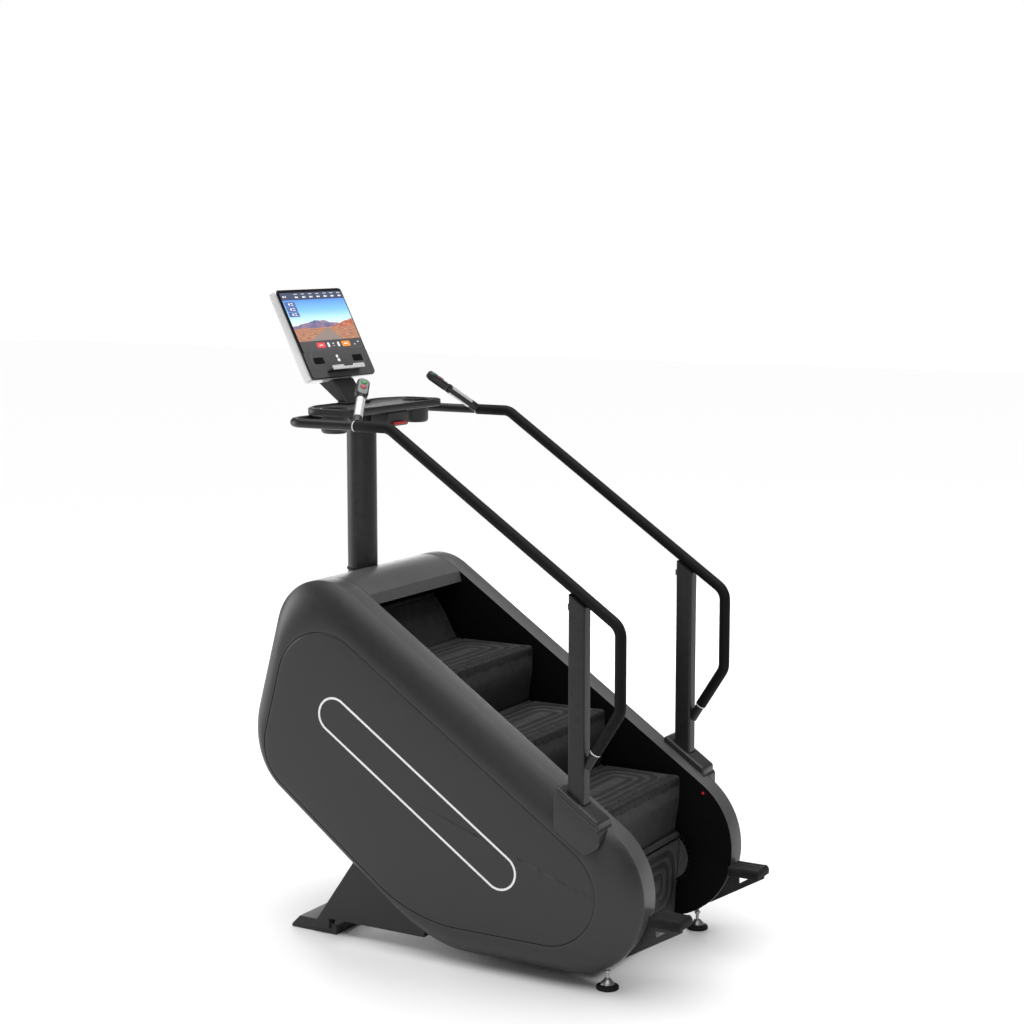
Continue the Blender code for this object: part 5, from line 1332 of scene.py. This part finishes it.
FACING = HEAD_DEPTH / 2 + 0.0004
facing = standing(soft_box(HEAD_WIDTH / 2 - 0.006, HEAD_LENGTH / 2 - 0.008, 0.013), -FACING, -HEAD_DEPTH / 2 + 0.003,
                  0.0004)
place_both("grip_facing", moved(facing, on_grip(HEAD_CENTRE)), GREY)


def pulse_plate(first, last):
    """A steel plate that lies on the grip's tube between two angles."""
    form, layers = bmesh.new(), []
    for radius in (0.0170, 0.0160):
        grid = []
        for i in range(13):
            a = math.radians(first + (last - first) * i / 12)
            grid.append([form.verts.new((radius * math.cos(a), radius * math.sin(a), z))
                         for z in (-neck_length + 0.045, -HEAD_LENGTH / 2 - 0.014)])
        layers.append(grid)
    top, low = layers
    for layer in layers:
        for i in range(12):
            form.faces.new((layer[i][0], layer[i + 1][0], layer[i + 1][1], layer[i][1]))
    for i in range(12):
        for k in (0, 1):
            form.faces.new((top[i][k], top[i + 1][k], low[i + 1][k], low[i][k]))
    for i in (0, 12):
        form.faces.new((top[i][0], top[i][1], low[i][1], low[i][0]))
    return form


place_both("pulse_plate_rear", moved(pulse_plate(-150, -30), on_grip(HEAD_CENTRE)), SILVER, sharp=40)
place_both("pulse_plate_front", moved(pulse_plate(30, 150), on_grip(HEAD_CENTRE)), SILVER, sharp=40)

face = HEAD_CENTRE + GRIP_FACE * HEAD_DEPTH / 2
for label, along, look, slot in (("green", 0.013, GREEN, "button_green"), ("red", -0.013, RED, "button_red")):
    centre = face + GRIP_WAY * (along + 0.008)
    cap = [(0.0, -0.0037), (0.009, -0.0037), (0.009, 0.0018), (0.0084, 0.0027), (0.0070, 0.0030), (0.0, 0.0026)]
    button = moved(turned(cap[::-1], (0, 0), sides=32), Matrix.Rotation(math.pi / 2, 4, "X"))
    button_nodes = (f"{label}_button_left", f"{label}_button_right")
    place_both(f"{label}_cap", moved(button, on_grip(centre)), look, button_nodes, f"{label}_button", slot=slot,
               sharp=50)
    rim = [(0.0094, 0.0014), (0.0108, 0.0014), (0.0112, 0.0008), (0.0112, -0.002), (0.0094, -0.002)]
    rings = [[(radius * math.cos(a), radius * math.sin(a), height) for a in (2 * math.pi * k / 32 for k in range(32))]
             for radius, height in rim]
    bezel = moved(loft(rings, closed=True), Matrix.Rotation(math.pi / 2, 4, "X"))
    place_both(f"{label}_bezel", moved(bezel, on_grip(centre)), MOULDED, sharp=40)
print("grip leans over", round(neck_length, 3), "m")

# %% [markdown]
# ## Column and tray

# %% Column
COLUMN_Y, COLUMN_RADIUS = 1.193, 0.054
TRAY_LOW = 1.8375
column_profile = [(0, TRAY_LOW - 0.0003), (COLUMN_RADIUS, TRAY_LOW - 0.0003), (COLUMN_RADIUS, 1.2003), (0, 1.2003)]
place("column_tube", turned(column_profile, (0, COLUMN_Y), sides=72), POST, stands_for="column",
      slot="post_grey", sharp=40)
flange_profile = [(0, 0.0006), (0.066, 0.0006), (0.068, 0.003), (0.068, 0.010), (0.062, 0.016), (0.0545, 0.020),
                  (0, 0.020)]
flange = turned([(radius, TRAY_LOW - drop) for radius, drop in flange_profile], (0, COLUMN_Y), sides=72)
place("column_head", flange, MOULDED, sharp=35)
ring_low = 1.2585
ring_rings = [[((COLUMN_RADIUS + out) * math.cos(a), COLUMN_Y + (COLUMN_RADIUS + out) * math.sin(a), z)
               for a in (2 * math.pi * k / 72 for k in range(72))]
              for out, z in ((0.0003, ring_low), (0.0042, ring_low), (0.0042, ring_low + 0.003),
                             (0.003, ring_low + 0.006), (0.001, ring_low + 0.007), (0.0003, ring_low + 0.007))]
place("column_ring", loft(ring_rings, closed=True), RUBBER, sharp=40)
print("column height:", round(TRAY_LOW - 1.2, 3))

# %% Tray with two cup holders
TRAY_TOP = TRAY_LOW + 0.0265
CUP_X, CUP_Y, CUP_RADIUS, CUP_LOW = 0.261, 1.129, 0.047, 1.776
tray_corners = plane_points((-0.318, 1.030), (0.318, 1.030), (0.318, 1.208), (0.216, 1.258), (-0.216, 1.258),
                            (-0.318, 1.208))
tray_radii = (0.055, 0.055, 0.065, 0.10, 0.10, 0.065)


def tray_ring(inset):
    lines = []
    for here, following in zip(tray_corners, tray_corners[1:] + tray_corners[:1]):
        way = (following - here).normalized()
        lines.append((here + Vector((-way.y, way.x)) * inset, way))
    return rounded([meet(*lines[i - 1], *lines[i]) for i in range(6)], [r - inset for r in tray_radii], 14)


def drilled_tray():
    """The tray's bottom, its rolled edge and a raised rim round a shallow floor, with cups let in."""
    form = bmesh.new()
    rows = [(0.006, TRAY_LOW), (0.0018, TRAY_LOW + 0.0018), (0.0, TRAY_LOW + 0.006), (0.0, TRAY_TOP - 0.005),
            (0.0015, TRAY_TOP - 0.0015), (0.005, TRAY_TOP), (0.009, TRAY_TOP), (0.0105, TRAY_TOP - 0.001),
            (0.012, TRAY_TOP - 0.004), (0.016, TRAY_TOP - 0.006)]
    rings = [[form.verts.new((p.x, p.y, z)) for p in tray_ring(inset)] for inset, z in rows]
    count = len(rings[0])
    for near, far in zip(rings, rings[1:]):
        for i in range(count):
            form.faces.new((near[i], near[(i + 1) % count], far[(i + 1) % count], far[i]))
    holes = {}
    for side in (-1, 1):
        for level, z in (("low", TRAY_LOW), ("top", TRAY_TOP - 0.006)):
            holes[side, level] = [form.verts.new((side * CUP_X + (CUP_RADIUS + 0.0015) * math.cos(a),
                                                  CUP_Y + (CUP_RADIUS + 0.0015) * math.sin(a), z))
                                  for a in (2 * math.pi * k / 48 for k in range(48))]
    for level, ring in (("low", rings[0]), ("top", rings[-1])):
        edges = []
        for spots in (ring, holes[-1, level], holes[1, level]):
            for i in range(len(spots)):
                pair = (spots[i], spots[(i + 1) % len(spots)])
                edges.append(form.edges.get(pair) or form.edges.new(pair))
        bmesh.ops.triangle_fill(form, use_beauty=True, edges=edges)
    for side in (-1, 1):
        low, top = holes[side, "low"], holes[side, "top"]
        for i in range(48):
            form.faces.new((low[i], low[(i + 1) % 48], top[(i + 1) % 48], top[i]))
    return form


place("tray_moulding", drilled_tray(), MOULDED, stands_for="tray", slot="moulded_black", sharp=35)
for side, label in ((-1, "left"), (1, "right")):
    cup = turned([(0.0, CUP_LOW + 0.004), (CUP_RADIUS - 0.010, CUP_LOW + 0.004),
                  (CUP_RADIUS - 0.005, CUP_LOW + 0.009),
                  (CUP_RADIUS - 0.004, TRAY_TOP - 0.004), (CUP_RADIUS - 0.0035, TRAY_TOP - 0.0012),
                  (CUP_RADIUS - 0.002, TRAY_TOP + 0.0004), (CUP_RADIUS + 0.001, TRAY_TOP + 0.0004),
                  (CUP_RADIUS + 0.0025, TRAY_TOP - 0.002), (CUP_RADIUS + 0.0025, TRAY_TOP - 0.0055),
                  (CUP_RADIUS, TRAY_TOP - 0.0075), (CUP_RADIUS, CUP_LOW + 0.010),
                  (CUP_RADIUS - 0.004, CUP_LOW + 0.003), (CUP_RADIUS - 0.010, CUP_LOW), (0.0, CUP_LOW)],
                 (side * CUP_X, CUP_Y), sides=64)
    place(f"cup_{label}", cup, MOULDED, sharp=40)
print("tray top at", round(TRAY_TOP, 4))

# %% Stop box and its red bar
stop_high = TRAY_LOW - 0.0003


def stop_outline(inset):
    w, low, high = 0.065 - inset, stop_high - 0.052 + inset, stop_high - inset
    return rounded(plane_points((-w, low), (w, low), (w, high), (-w, high)), 0.008 - inset * 0.8, 6)


place("stop_housing", standing(stop_outline, 1.034, 1.109, 0.004), MOULDED, stands_for="stop_box",
      slot="moulded_black", sharp=40)
pull_low = stop_high - 0.052 + 0.007
mouth = standing(soft_box(0.038, 0.0068, 0.003, pull_low + 0.004), 1.0334, 1.040, 0.0006)
place("stop_mouth", mouth, GLASS_BLACK, sharp=40)
pull = [(-0.035, 1.018), (0.035, 1.018), (0.035, 1.046), (-0.035, 1.046)]
pull_outline = rounded([Vector(p) for p in pull], [0.007, 0.007, 0.0015, 0.0015], 8)
place("stop_bar", slab(pull_outline, pull_low, pull_low + 0.008), RED, "stop_pull", "stop_pull", slot="button_red",
      bevel=0.0012, sharp=40)
print("stop bar at", round(pull_low, 4))

# %% [markdown]
# ## Console
# The console leans back on a neck above the tray. It is built flat, with X across it, Z up its face
# and Y through it, and one matrix tilts it into place. A thin glass face carries a landscape view,
# a strip of read-outs above it, a bar of controls below it, and two small speakers.

# %% Housing and glass
CONSOLE_TILT = math.radians(26.7)
ON_CONSOLE = Matrix.Translation((0, 1.261, 1.954)) @ Matrix.Rotation(-CONSOLE_TILT, 4, "X")
HALF, HIGH = 0.2003, 0.3515


def placed_on_console(name, form, look, **more):
    return place(name, moved(form, ON_CONSOLE), look, **more)


placed_on_console("housing", standing(soft_box(HALF, HIGH / 2, 0.016, HIGH / 2), 0.0063, 0.045, 0.007), SILVER,
                  stands_for="console_housing", slot="silver", sharp=50)
placed_on_console("face_rim", standing(soft_box(HALF - 0.0006, HIGH / 2 - 0.0006, 0.0155, HIGH / 2), 0.0035, 0.0064,
                                       0.0012), MOULDED, sharp=50)
placed_on_console("face_glass", standing(soft_box(HALF - 0.003, HIGH / 2 - 0.003, 0.013, HIGH / 2), 0.0, 0.0045,
                                         0.0008), GLASS_BLACK, stands_for="screen_panel", slot="screen_black",
                  sharp=50)
print("console face:", round(2 * HALF, 4), "by", HIGH)

# %% [markdown]
# The view is a picture made of nodes: a sky that pales towards the horizon, far blue hills and
# nearer red ones whose ridge lines come from noise, and a dry plain with a road running into it.

# %% The landscape material
def make_landscape():
    made = bpy.data.materials.new("landscape_view")
    made.use_nodes = True
    nodes, links = made.node_tree.nodes, made.node_tree.links
    shader = nodes["Principled BSDF"]

    def calc(kind, *values):
        node = nodes.new("ShaderNodeMath")
        node.operation = kind
        for socket, value in zip(node.inputs, values):
            if isinstance(value, (int, float)):
                socket.default_value = value
            else:
                links.new(value, socket)
        return node.outputs[0]

    def noise(x, y, scale, detail=4.0):
        spot, texture = nodes.new("ShaderNodeCombineXYZ"), nodes.new("ShaderNodeTexNoise")
        for socket, value in zip(spot.inputs, (x, y)):
            if isinstance(value, (int, float)):
                socket.default_value = value
            else:
                links.new(value, socket)
        links.new(spot.outputs[0], texture.inputs["Vector"])
        texture.inputs["Scale"].default_value = scale
        texture.inputs["Detail"].default_value = detail
        return texture.outputs["Fac"]

    def ramp(value, *stops):
        node = nodes.new("ShaderNodeValToRGB")
        links.new(value, node.inputs["Fac"])
        while len(node.color_ramp.elements) < len(stops):
            node.color_ramp.elements.new(0.5)
        for element, (where, colour) in zip(node.color_ramp.elements, stops):
            element.position = where
            element.color = (*colour, 1)
        return node.outputs["Color"]

    def mix(factor, a, b):
        node = nodes.new("ShaderNodeMix")
        node.data_type = "RGBA"
        links.new(factor, node.inputs["Factor"])
        links.new(a, node.inputs["A"])
        links.new(b, node.inputs["B"])
        return node.outputs["Result"]

    def below(line):
        """One below a ridge line, nought above it."""
        return calc("SMOOTH_MIN", 1.0, calc("MAXIMUM", calc("MULTIPLY", calc("SUBTRACT", line, v), 160.0), 0.0), 0.01)

    chart = nodes.new("ShaderNodeUVMap")
    chart.uv_map = "picture"
    split = nodes.new("ShaderNodeSeparateXYZ")
    links.new(chart.outputs["UV"], split.inputs[0])
    u, v = split.outputs["X"], split.outputs["Y"]

    sky = ramp(v, (0.32, (0.88, 0.86, 0.80)), (0.50, (0.55, 0.82, 0.90)), (0.72, (0.24, 0.55, 0.88)),
               (1.0, (0.12, 0.30, 0.74)))
    haze = ramp(noise(u, v, 7.0), (0.30, (0.10, 0.12, 0.26)), (0.70, (0.36, 0.24, 0.30)))
    rust = ramp(noise(u, v, 16.0), (0.30, (0.34, 0.10, 0.07)), (0.70, (0.66, 0.26, 0.16)))
    plain = ramp(noise(u, calc("MULTIPLY", v, 3.0), 14.0), (0.30, (0.30, 0.13, 0.09)), (0.70, (0.55, 0.29, 0.18)))
    road = ramp(noise(u, v, 60.0), (0.30, (0.24, 0.19, 0.17)), (0.70, (0.33, 0.27, 0.24)))

    bump = calc("SUBTRACT", 1.0, calc("MULTIPLY", calc("ABSOLUTE", calc("SUBTRACT", u, 0.42)), 2.6))
    far_line = calc("ADD", calc("MULTIPLY", calc("MAXIMUM", bump, 0.0), 0.13),
                    calc("ADD", 0.31, calc("MULTIPLY", noise(u, 0.3, 9.0), 0.13)))
    rise = calc("MULTIPLY", calc("MAXIMUM", calc("SUBTRACT", u, 0.56), 0.0), 0.42)
    near_line = calc("ADD", rise, calc("ADD", 0.25, calc("MULTIPLY", noise(u, 0.8, 11.0), 0.12)))
    plain_line = calc("ADD", 0.285, calc("MULTIPLY", noise(u, 0.1, 5.0), 0.05))
    depth = calc("SUBTRACT", plain_line, v)
    off_road = calc("ABSOLUTE", calc("SUBTRACT", u, calc("ADD", 0.55, calc("MULTIPLY", depth, -0.35))))
    on_road = calc("GREATER_THAN", calc("MULTIPLY", depth, 0.85), off_road)

    view = mix(below(far_line), sky, haze)
    view = mix(below(near_line), view, rust)
    view = mix(below(plain_line), view, plain)
    view = mix(on_road, view, road)
    links.new(view, shader.inputs["Base Color"])
    links.new(view, shader.inputs["Emission Color"])
    shader.inputs["Emission Strength"].default_value = 0.52
    smear = noise(u, v, 5.0)
    links.new(calc("ADD", 0.16, calc("MULTIPLY", smear, 0.14)), shader.inputs["Roughness"])
    return made


LANDSCAPE = make_landscape()
form = bmesh.new()
chart = form.loops.layers.uv.new("picture")
columns, rows = 24, 16
PICTURE_LOW, PICTURE_HIGH, PICTURE_HALF = 0.146, 0.308, 0.1905
grid = [[form.verts.new((-PICTURE_HALF + 2 * PICTURE_HALF * i / columns, -0.0004,
                         PICTURE_LOW + (PICTURE_HIGH - PICTURE_LOW) * j / rows)) for j in range(rows + 1)]
        for i in range(columns + 1)]
for i in range(columns):
    for j in range(rows):
        face = form.faces.new((grid[i][j], grid[i + 1][j], grid[i + 1][j + 1], grid[i][j + 1]))
        for loop, (a, b) in zip(face.loops, ((i, j), (i + 1, j), (i + 1, j + 1), (i, j + 1))):
            loop[chart].uv = (a / columns, b / rows)
placed_on_console("picture", form, LANDSCAPE, outward=False)
print("picture faces:", columns * rows)


# %% Read-outs, controls and speakers
def marks(name, outlines, look, front, back=-0.0003):
    """Thin flat marks that stand a little proud of the glass."""
    form = bmesh.new()
    for outline in outlines:
        loft([[(p.x, y, p.y) for p in outline] for y in (back, front)], form=form)
    return placed_on_console(name, form, look, sharp=30)


def pill(x, z, width, height, radius=None):
    w, h = width / 2, height / 2
    corners = plane_points((x - w, z - h), (x + w, z - h), (x + w, z + h), (x - w, z + h))
    return rounded(corners, radius or min(w, h) * 0.98, 6)


STRIP = finish("screen_strip", (0.060, 0.075, 0.135), 0.2, emission=0.55)
BAR = finish("screen_bar", (0.075, 0.075, 0.078), 0.2, emission=0.45)
TILE = finish("screen_tile", (0.080, 0.120, 0.300), 0.2, emission=0.7)
BRIGHT = finish("screen_white", (0.80, 0.80, 0.82), 0.25, emission=0.5)
SCREEN_RED = finish("screen_red", (0.72, 0.06, 0.07), 0.25, emission=0.6)
SCREEN_ORANGE = finish("screen_orange", (0.85, 0.28, 0.05), 0.25, emission=0.6)
marks("strip", [pill(0, 0.3225, 2 * PICTURE_HALF, 0.029, 0.002)], STRIP, -0.0006)
marks("bar", [pill(0, 0.1255, 2 * PICTURE_HALF, 0.041, 0.002)], BAR, -0.0006)
marks("tiles", [pill(-0.153, z, 0.062, 0.0185, 0.002) for z in (0.292, 0.272, 0.252)], TILE, -0.0008)
read_outs = [pill(-0.176, 0.3215, 0.010, 0.007), pill(-0.163, 0.3215, 0.005, 0.008)]
for i in range(7):
    x = -0.098 + 0.0445 * i
    read_outs += [pill(x, 0.3305, 0.020, 0.0022), pill(x - 0.003, 0.3185, 0.013, 0.0062),
                  pill(x + 0.0075, 0.3185, 0.005, 0.0062)]
for z in (0.292, 0.272, 0.252):
    read_outs += [pill(-0.160, z, 0.010, 0.010), pill(-0.143, z + 0.0035, 0.014, 0.0028),
                  pill(-0.142, z - 0.0035, 0.016, 0.0028)]
for x in (-0.0225, 0.0395):
    read_outs.append(pill(x, 0.1270, 0.013, 0.0185, 0.005))
for x, width in ((0.0085, 0.010), (0.0085, 0.006), (0.141, 0.009), (0.166, 0.011)):
    read_outs.append(pill(x, 0.1270 + (0.0045 if width > 0.009 else -0.0045), width, 0.0035))
read_outs += [pill(-0.069, 0.1275, 0.024, 0.0035), pill(0.087, 0.1275, 0.024, 0.0035)]
marks("button_red_pill", [pill(-0.069, 0.1275, 0.052, 0.0205, 0.005)], SCREEN_RED, -0.0009)
marks("button_orange_pill", [pill(0.087, 0.1275, 0.052, 0.0205, 0.005)], SCREEN_ORANGE, -0.0009)
marks("read_outs", read_outs, BRIGHT, -0.0011)

# The lower face's light grey finish is painted sheen.
lower = standing(soft_box(HALF - 0.0036, 0.0505, 0.012, 0.0540), -0.0010, 0.003, 0.0005)
placed_on_console("lower_face", lower, SHEEN_FACE_PLATE, sharp=40)
marks("emblem", [pill(-0.002, 0.0805, 0.012, 0.012, 0.0045), pill(0.001, 0.0655, 0.016, 0.010, 0.0035)], BRIGHT,
      -0.0016, -0.0009)
slot_mesh = bpy.data.meshes.new("speaker_slot")
slot_form = bmesh.new()
slot_outline = pill(0, 0, 0.050, 0.0019)
loft([[(p.x, y, p.y) for p in slot_outline] for y in (-0.0014, -0.0024)], form=slot_form)
bmesh.ops.recalc_face_normals(slot_form, faces=slot_form.faces)
slot_form.to_mesh(slot_mesh)
slot_form.free()
for side, label in ((-1, "left"), (1, "right")):
    x = side * 0.121
    plate = standing(soft_box(0.031, 0.0125, 0.0045), -0.0015, -0.0005, 0.0004)
    placed_on_console(f"speaker_{label}", moved(plate, Matrix.Translation((x, 0, 0.069))), RUBBER, sharp=40)
    slots = row_of(slot_mesh, 6, (x, 0, 0.0599), (0, 0, 0.0037), GLASS_BLACK)
    slots_form = bmesh.new()
    slots_form.from_mesh(slots)
    placed_on_console(f"speaker_slots_{label}", slots_form, GLASS_BLACK, sharp=40)
    arc = [Vector((x + side * 0.044 * math.cos(a), 0.069 + 0.0375 * math.sin(a)))
           for a in (math.radians(-58 + 116 * i / 20) for i in range(21))]
    inside = [Vector((x + side * 0.0425 * math.cos(a), 0.069 + 0.036 * math.sin(a)))
              for a in (math.radians(58 - 116 * i / 20) for i in range(21))]
    marks(f"speaker_arc_{label}", [arc + inside], GREY, -0.0016, -0.0009)
print("read-outs:", len(read_outs))

# %% [markdown]
# A shallow ledge for a tablet stands out of the lower face, with a white lip that dips in its middle.

# %% Ledge and neck
ledge_low = 0.020
shelf = standing(soft_box(0.098, 0.0035, 0.003, ledge_low + 0.0035), -0.031, -0.0010, 0.0012)
placed_on_console("ledge_shelf", shelf, MOULDED, stands_for="tablet_ledge", slot="ledge_white", sharp=40)
lip_corners = plane_points((-0.098, ledge_low - 0.001), (0.098, ledge_low - 0.001), (0.098, ledge_low + 0.0155),
                           (0.032, ledge_low + 0.0155), (0.027, ledge_low + 0.0085), (-0.027, ledge_low + 0.0085),
                           (-0.032, ledge_low + 0.0155), (-0.098, ledge_low + 0.0155))
lip_outline = rounded(lip_corners, 0.0022, 6)
lip = loft([[(p.x, y, p.y) for p in lip_outline] for y in (-0.0335, -0.0285)])
placed_on_console("ledge_lip", lip, LEDGE, sharp=30, bevel=0.0008)


def console_point(up, back):
    face_up = Vector((math.sin(CONSOLE_TILT), math.cos(CONSOLE_TILT)))
    face_back = Vector((math.cos(CONSOLE_TILT), -math.sin(CONSOLE_TILT)))
    return Vector((1.261, 1.954)) + face_up * up + face_back * back


neck_outline = [Vector((1.212, TRAY_TOP + 0.0003)), Vector((1.250, TRAY_TOP + 0.0003)), console_point(0.050, 0.0953),
                console_point(0.110, 0.0453), console_point(0.002, 0.0453), console_point(-0.001, 0.012)]
place("neck", solid(neck_outline, -0.064, 0.064), MOULDED, stands_for="console_neck", slot="moulded_black",
      bevel=0.007, segments=4, sharp=25)
cheek_outline = [p.lerp(sum(neck_outline, Vector((0, 0))) / 6, 0.16) for p in neck_outline]
for side, label in ((-1, "left"), (1, "right")):
    place(f"neck_cheek_{label}", solid(cheek_outline, *sorted((side * 0.0635, side * 0.0652))), SHELL, bevel=0.0007,
          sharp=30)
flange_outline = rounded(plane_points((-0.078, 1.198), (0.078, 1.198), (0.073, 1.251), (-0.073, 1.251)), 0.012, 8)
place("neck_flange", slab(flange_outline, TRAY_TOP - 0.0055, TRAY_TOP + 0.0035), MOULDED, bevel=0.0016, sharp=30)
print("neck points:", len(neck_outline))

# %% Small fittings
for side, label in ((-1, "left"), (1, "right")):
    x = side * 0.2995
    lens = [[(x - side * out, -0.038 + r * math.cos(a), 0.513 + r * math.sin(a))
             for a in (2 * math.pi * k / 24 for k in range(24))] for r, out in ((0.0055, 0.0), (0.0055, 0.0008),
                                                                              (0.004, 0.0018), (0.0015, 0.0022))]
    place(f"sensor_lens_{label}", loft(lens), RED, sharp=50)
    screw_x = side * 0.3500
    screw_y = POST_Y - 0.030
    screw_z = pod_top_z(screw_y) - 0.035
    head = [[(screw_x - side * out, screw_y + r * math.cos(a), screw_z + r * math.sin(a))
             for a in (2 * math.pi * k / 24 for k in range(24))] for r, out in ((0.006, 0.0), (0.006, 0.0012),
                                                                              (0.0045, 0.0024), (0.002, 0.0028))]
    place(f"boot_screw_{label}", loft(head), ZINC, sharp=50)
print("fittings placed")

# %% [markdown]
# ## The room
# The machine stands on a pale floor under a broad soft light from above. Side lights are weak, so
# that faces that look up are much brighter than upright ones.

# %% Floor, lights and camera
def plain_material(name, colour, roughness):
    made = bpy.data.materials.new(name)
    made.use_nodes = True
    shader = made.node_tree.nodes["Principled BSDF"]
    shader.inputs["Base Color"].default_value = (*colour, 1)
    shader.inputs["Roughness"].default_value = roughness
    return made


floor_mesh = bpy.data.meshes.new("floor")
floor_mesh.from_pydata([(-30, -30, 0), (30, -30, 0), (30, 30, 0), (-30, 30, 0)], [], [(0, 1, 2, 3)])
floor = bpy.data.objects.new("floor", floor_mesh)
floor_mesh.materials.append(plain_material("pale_floor", (0.86, 0.86, 0.86), 0.6))
bpy.context.scene.collection.objects.link(floor)

world = bpy.data.worlds.new("soft_room")
bpy.context.scene.world = world
world.use_nodes = True
room, ties = world.node_tree.nodes, world.node_tree.links
dim = room["Background"]
dim.inputs["Color"].default_value = (1, 1, 1, 1)
dim.inputs["Strength"].default_value = 0.14
plain = room.new("ShaderNodeBackground")
plain.inputs["Color"].default_value = (1, 1, 1, 1)
plain.inputs["Strength"].default_value = 1.0
ray, either = room.new("ShaderNodeLightPath"), room.new("ShaderNodeMixShader")
ties.new(ray.outputs["Is Camera Ray"], either.inputs[0])
ties.new(dim.outputs[0], either.inputs[1])
ties.new(plain.outputs[0], either.inputs[2])
ties.new(either.outputs[0], room["World Output"].inputs["Surface"])


def soft_light(name, spot, target, size, power):
    lamp = bpy.data.lights.new(name, "AREA")
    lamp.shape = "RECTANGLE"
    lamp.size, lamp.size_y = size
    lamp.energy = power
    item = bpy.data.objects.new(name, lamp)
    item.location = spot
    item.rotation_euler = (Vector(target) - Vector(spot)).to_track_quat("-Z", "Y").to_euler()
    bpy.context.scene.collection.objects.link(item)


sky = bpy.data.lights.new("overhead", "SUN")
sky.energy = 3.5
sky.angle = math.radians(80)
overhead = bpy.data.objects.new("overhead", sky)
overhead.location = (0, 0, 6)
bpy.context.scene.collection.objects.link(overhead)
soft_light("far_side", (6.0, 4.0, 2.1), (0, 0, 1.2), (7.0, 1.8), 170)
soft_light("left_fill", (-5.5, -1.5, 2.2), (0, 0, 1.0), (3.0, 3.0), 26)
soft_light("front_left", (-1.5, 6.0, 2.2), (0, 0, 1.0), (3.0, 2.5), 110)

camera = bpy.data.objects.new("camera", bpy.data.cameras.new("camera"))
camera.data.sensor_width = 36
camera.data.lens = 73.48
camera.data.clip_end = 200
yaw, dip = math.radians(30.097), math.radians(7.639)
aim = Vector((math.cos(yaw) * math.cos(dip), math.sin(yaw) * math.cos(dip), -math.sin(dip)))
camera.location = Vector((-6.2339, -3.0479, 2.4726)) + SHIFT
camera.rotation_euler = aim.to_track_quat("-Z", "Y").to_euler()
bpy.context.scene.collection.objects.link(camera)
bpy.context.scene.camera = camera
bpy.context.scene.view_settings.view_transform = "Standard"
print("camera at", tuple(round(v, 3) for v in camera.location))
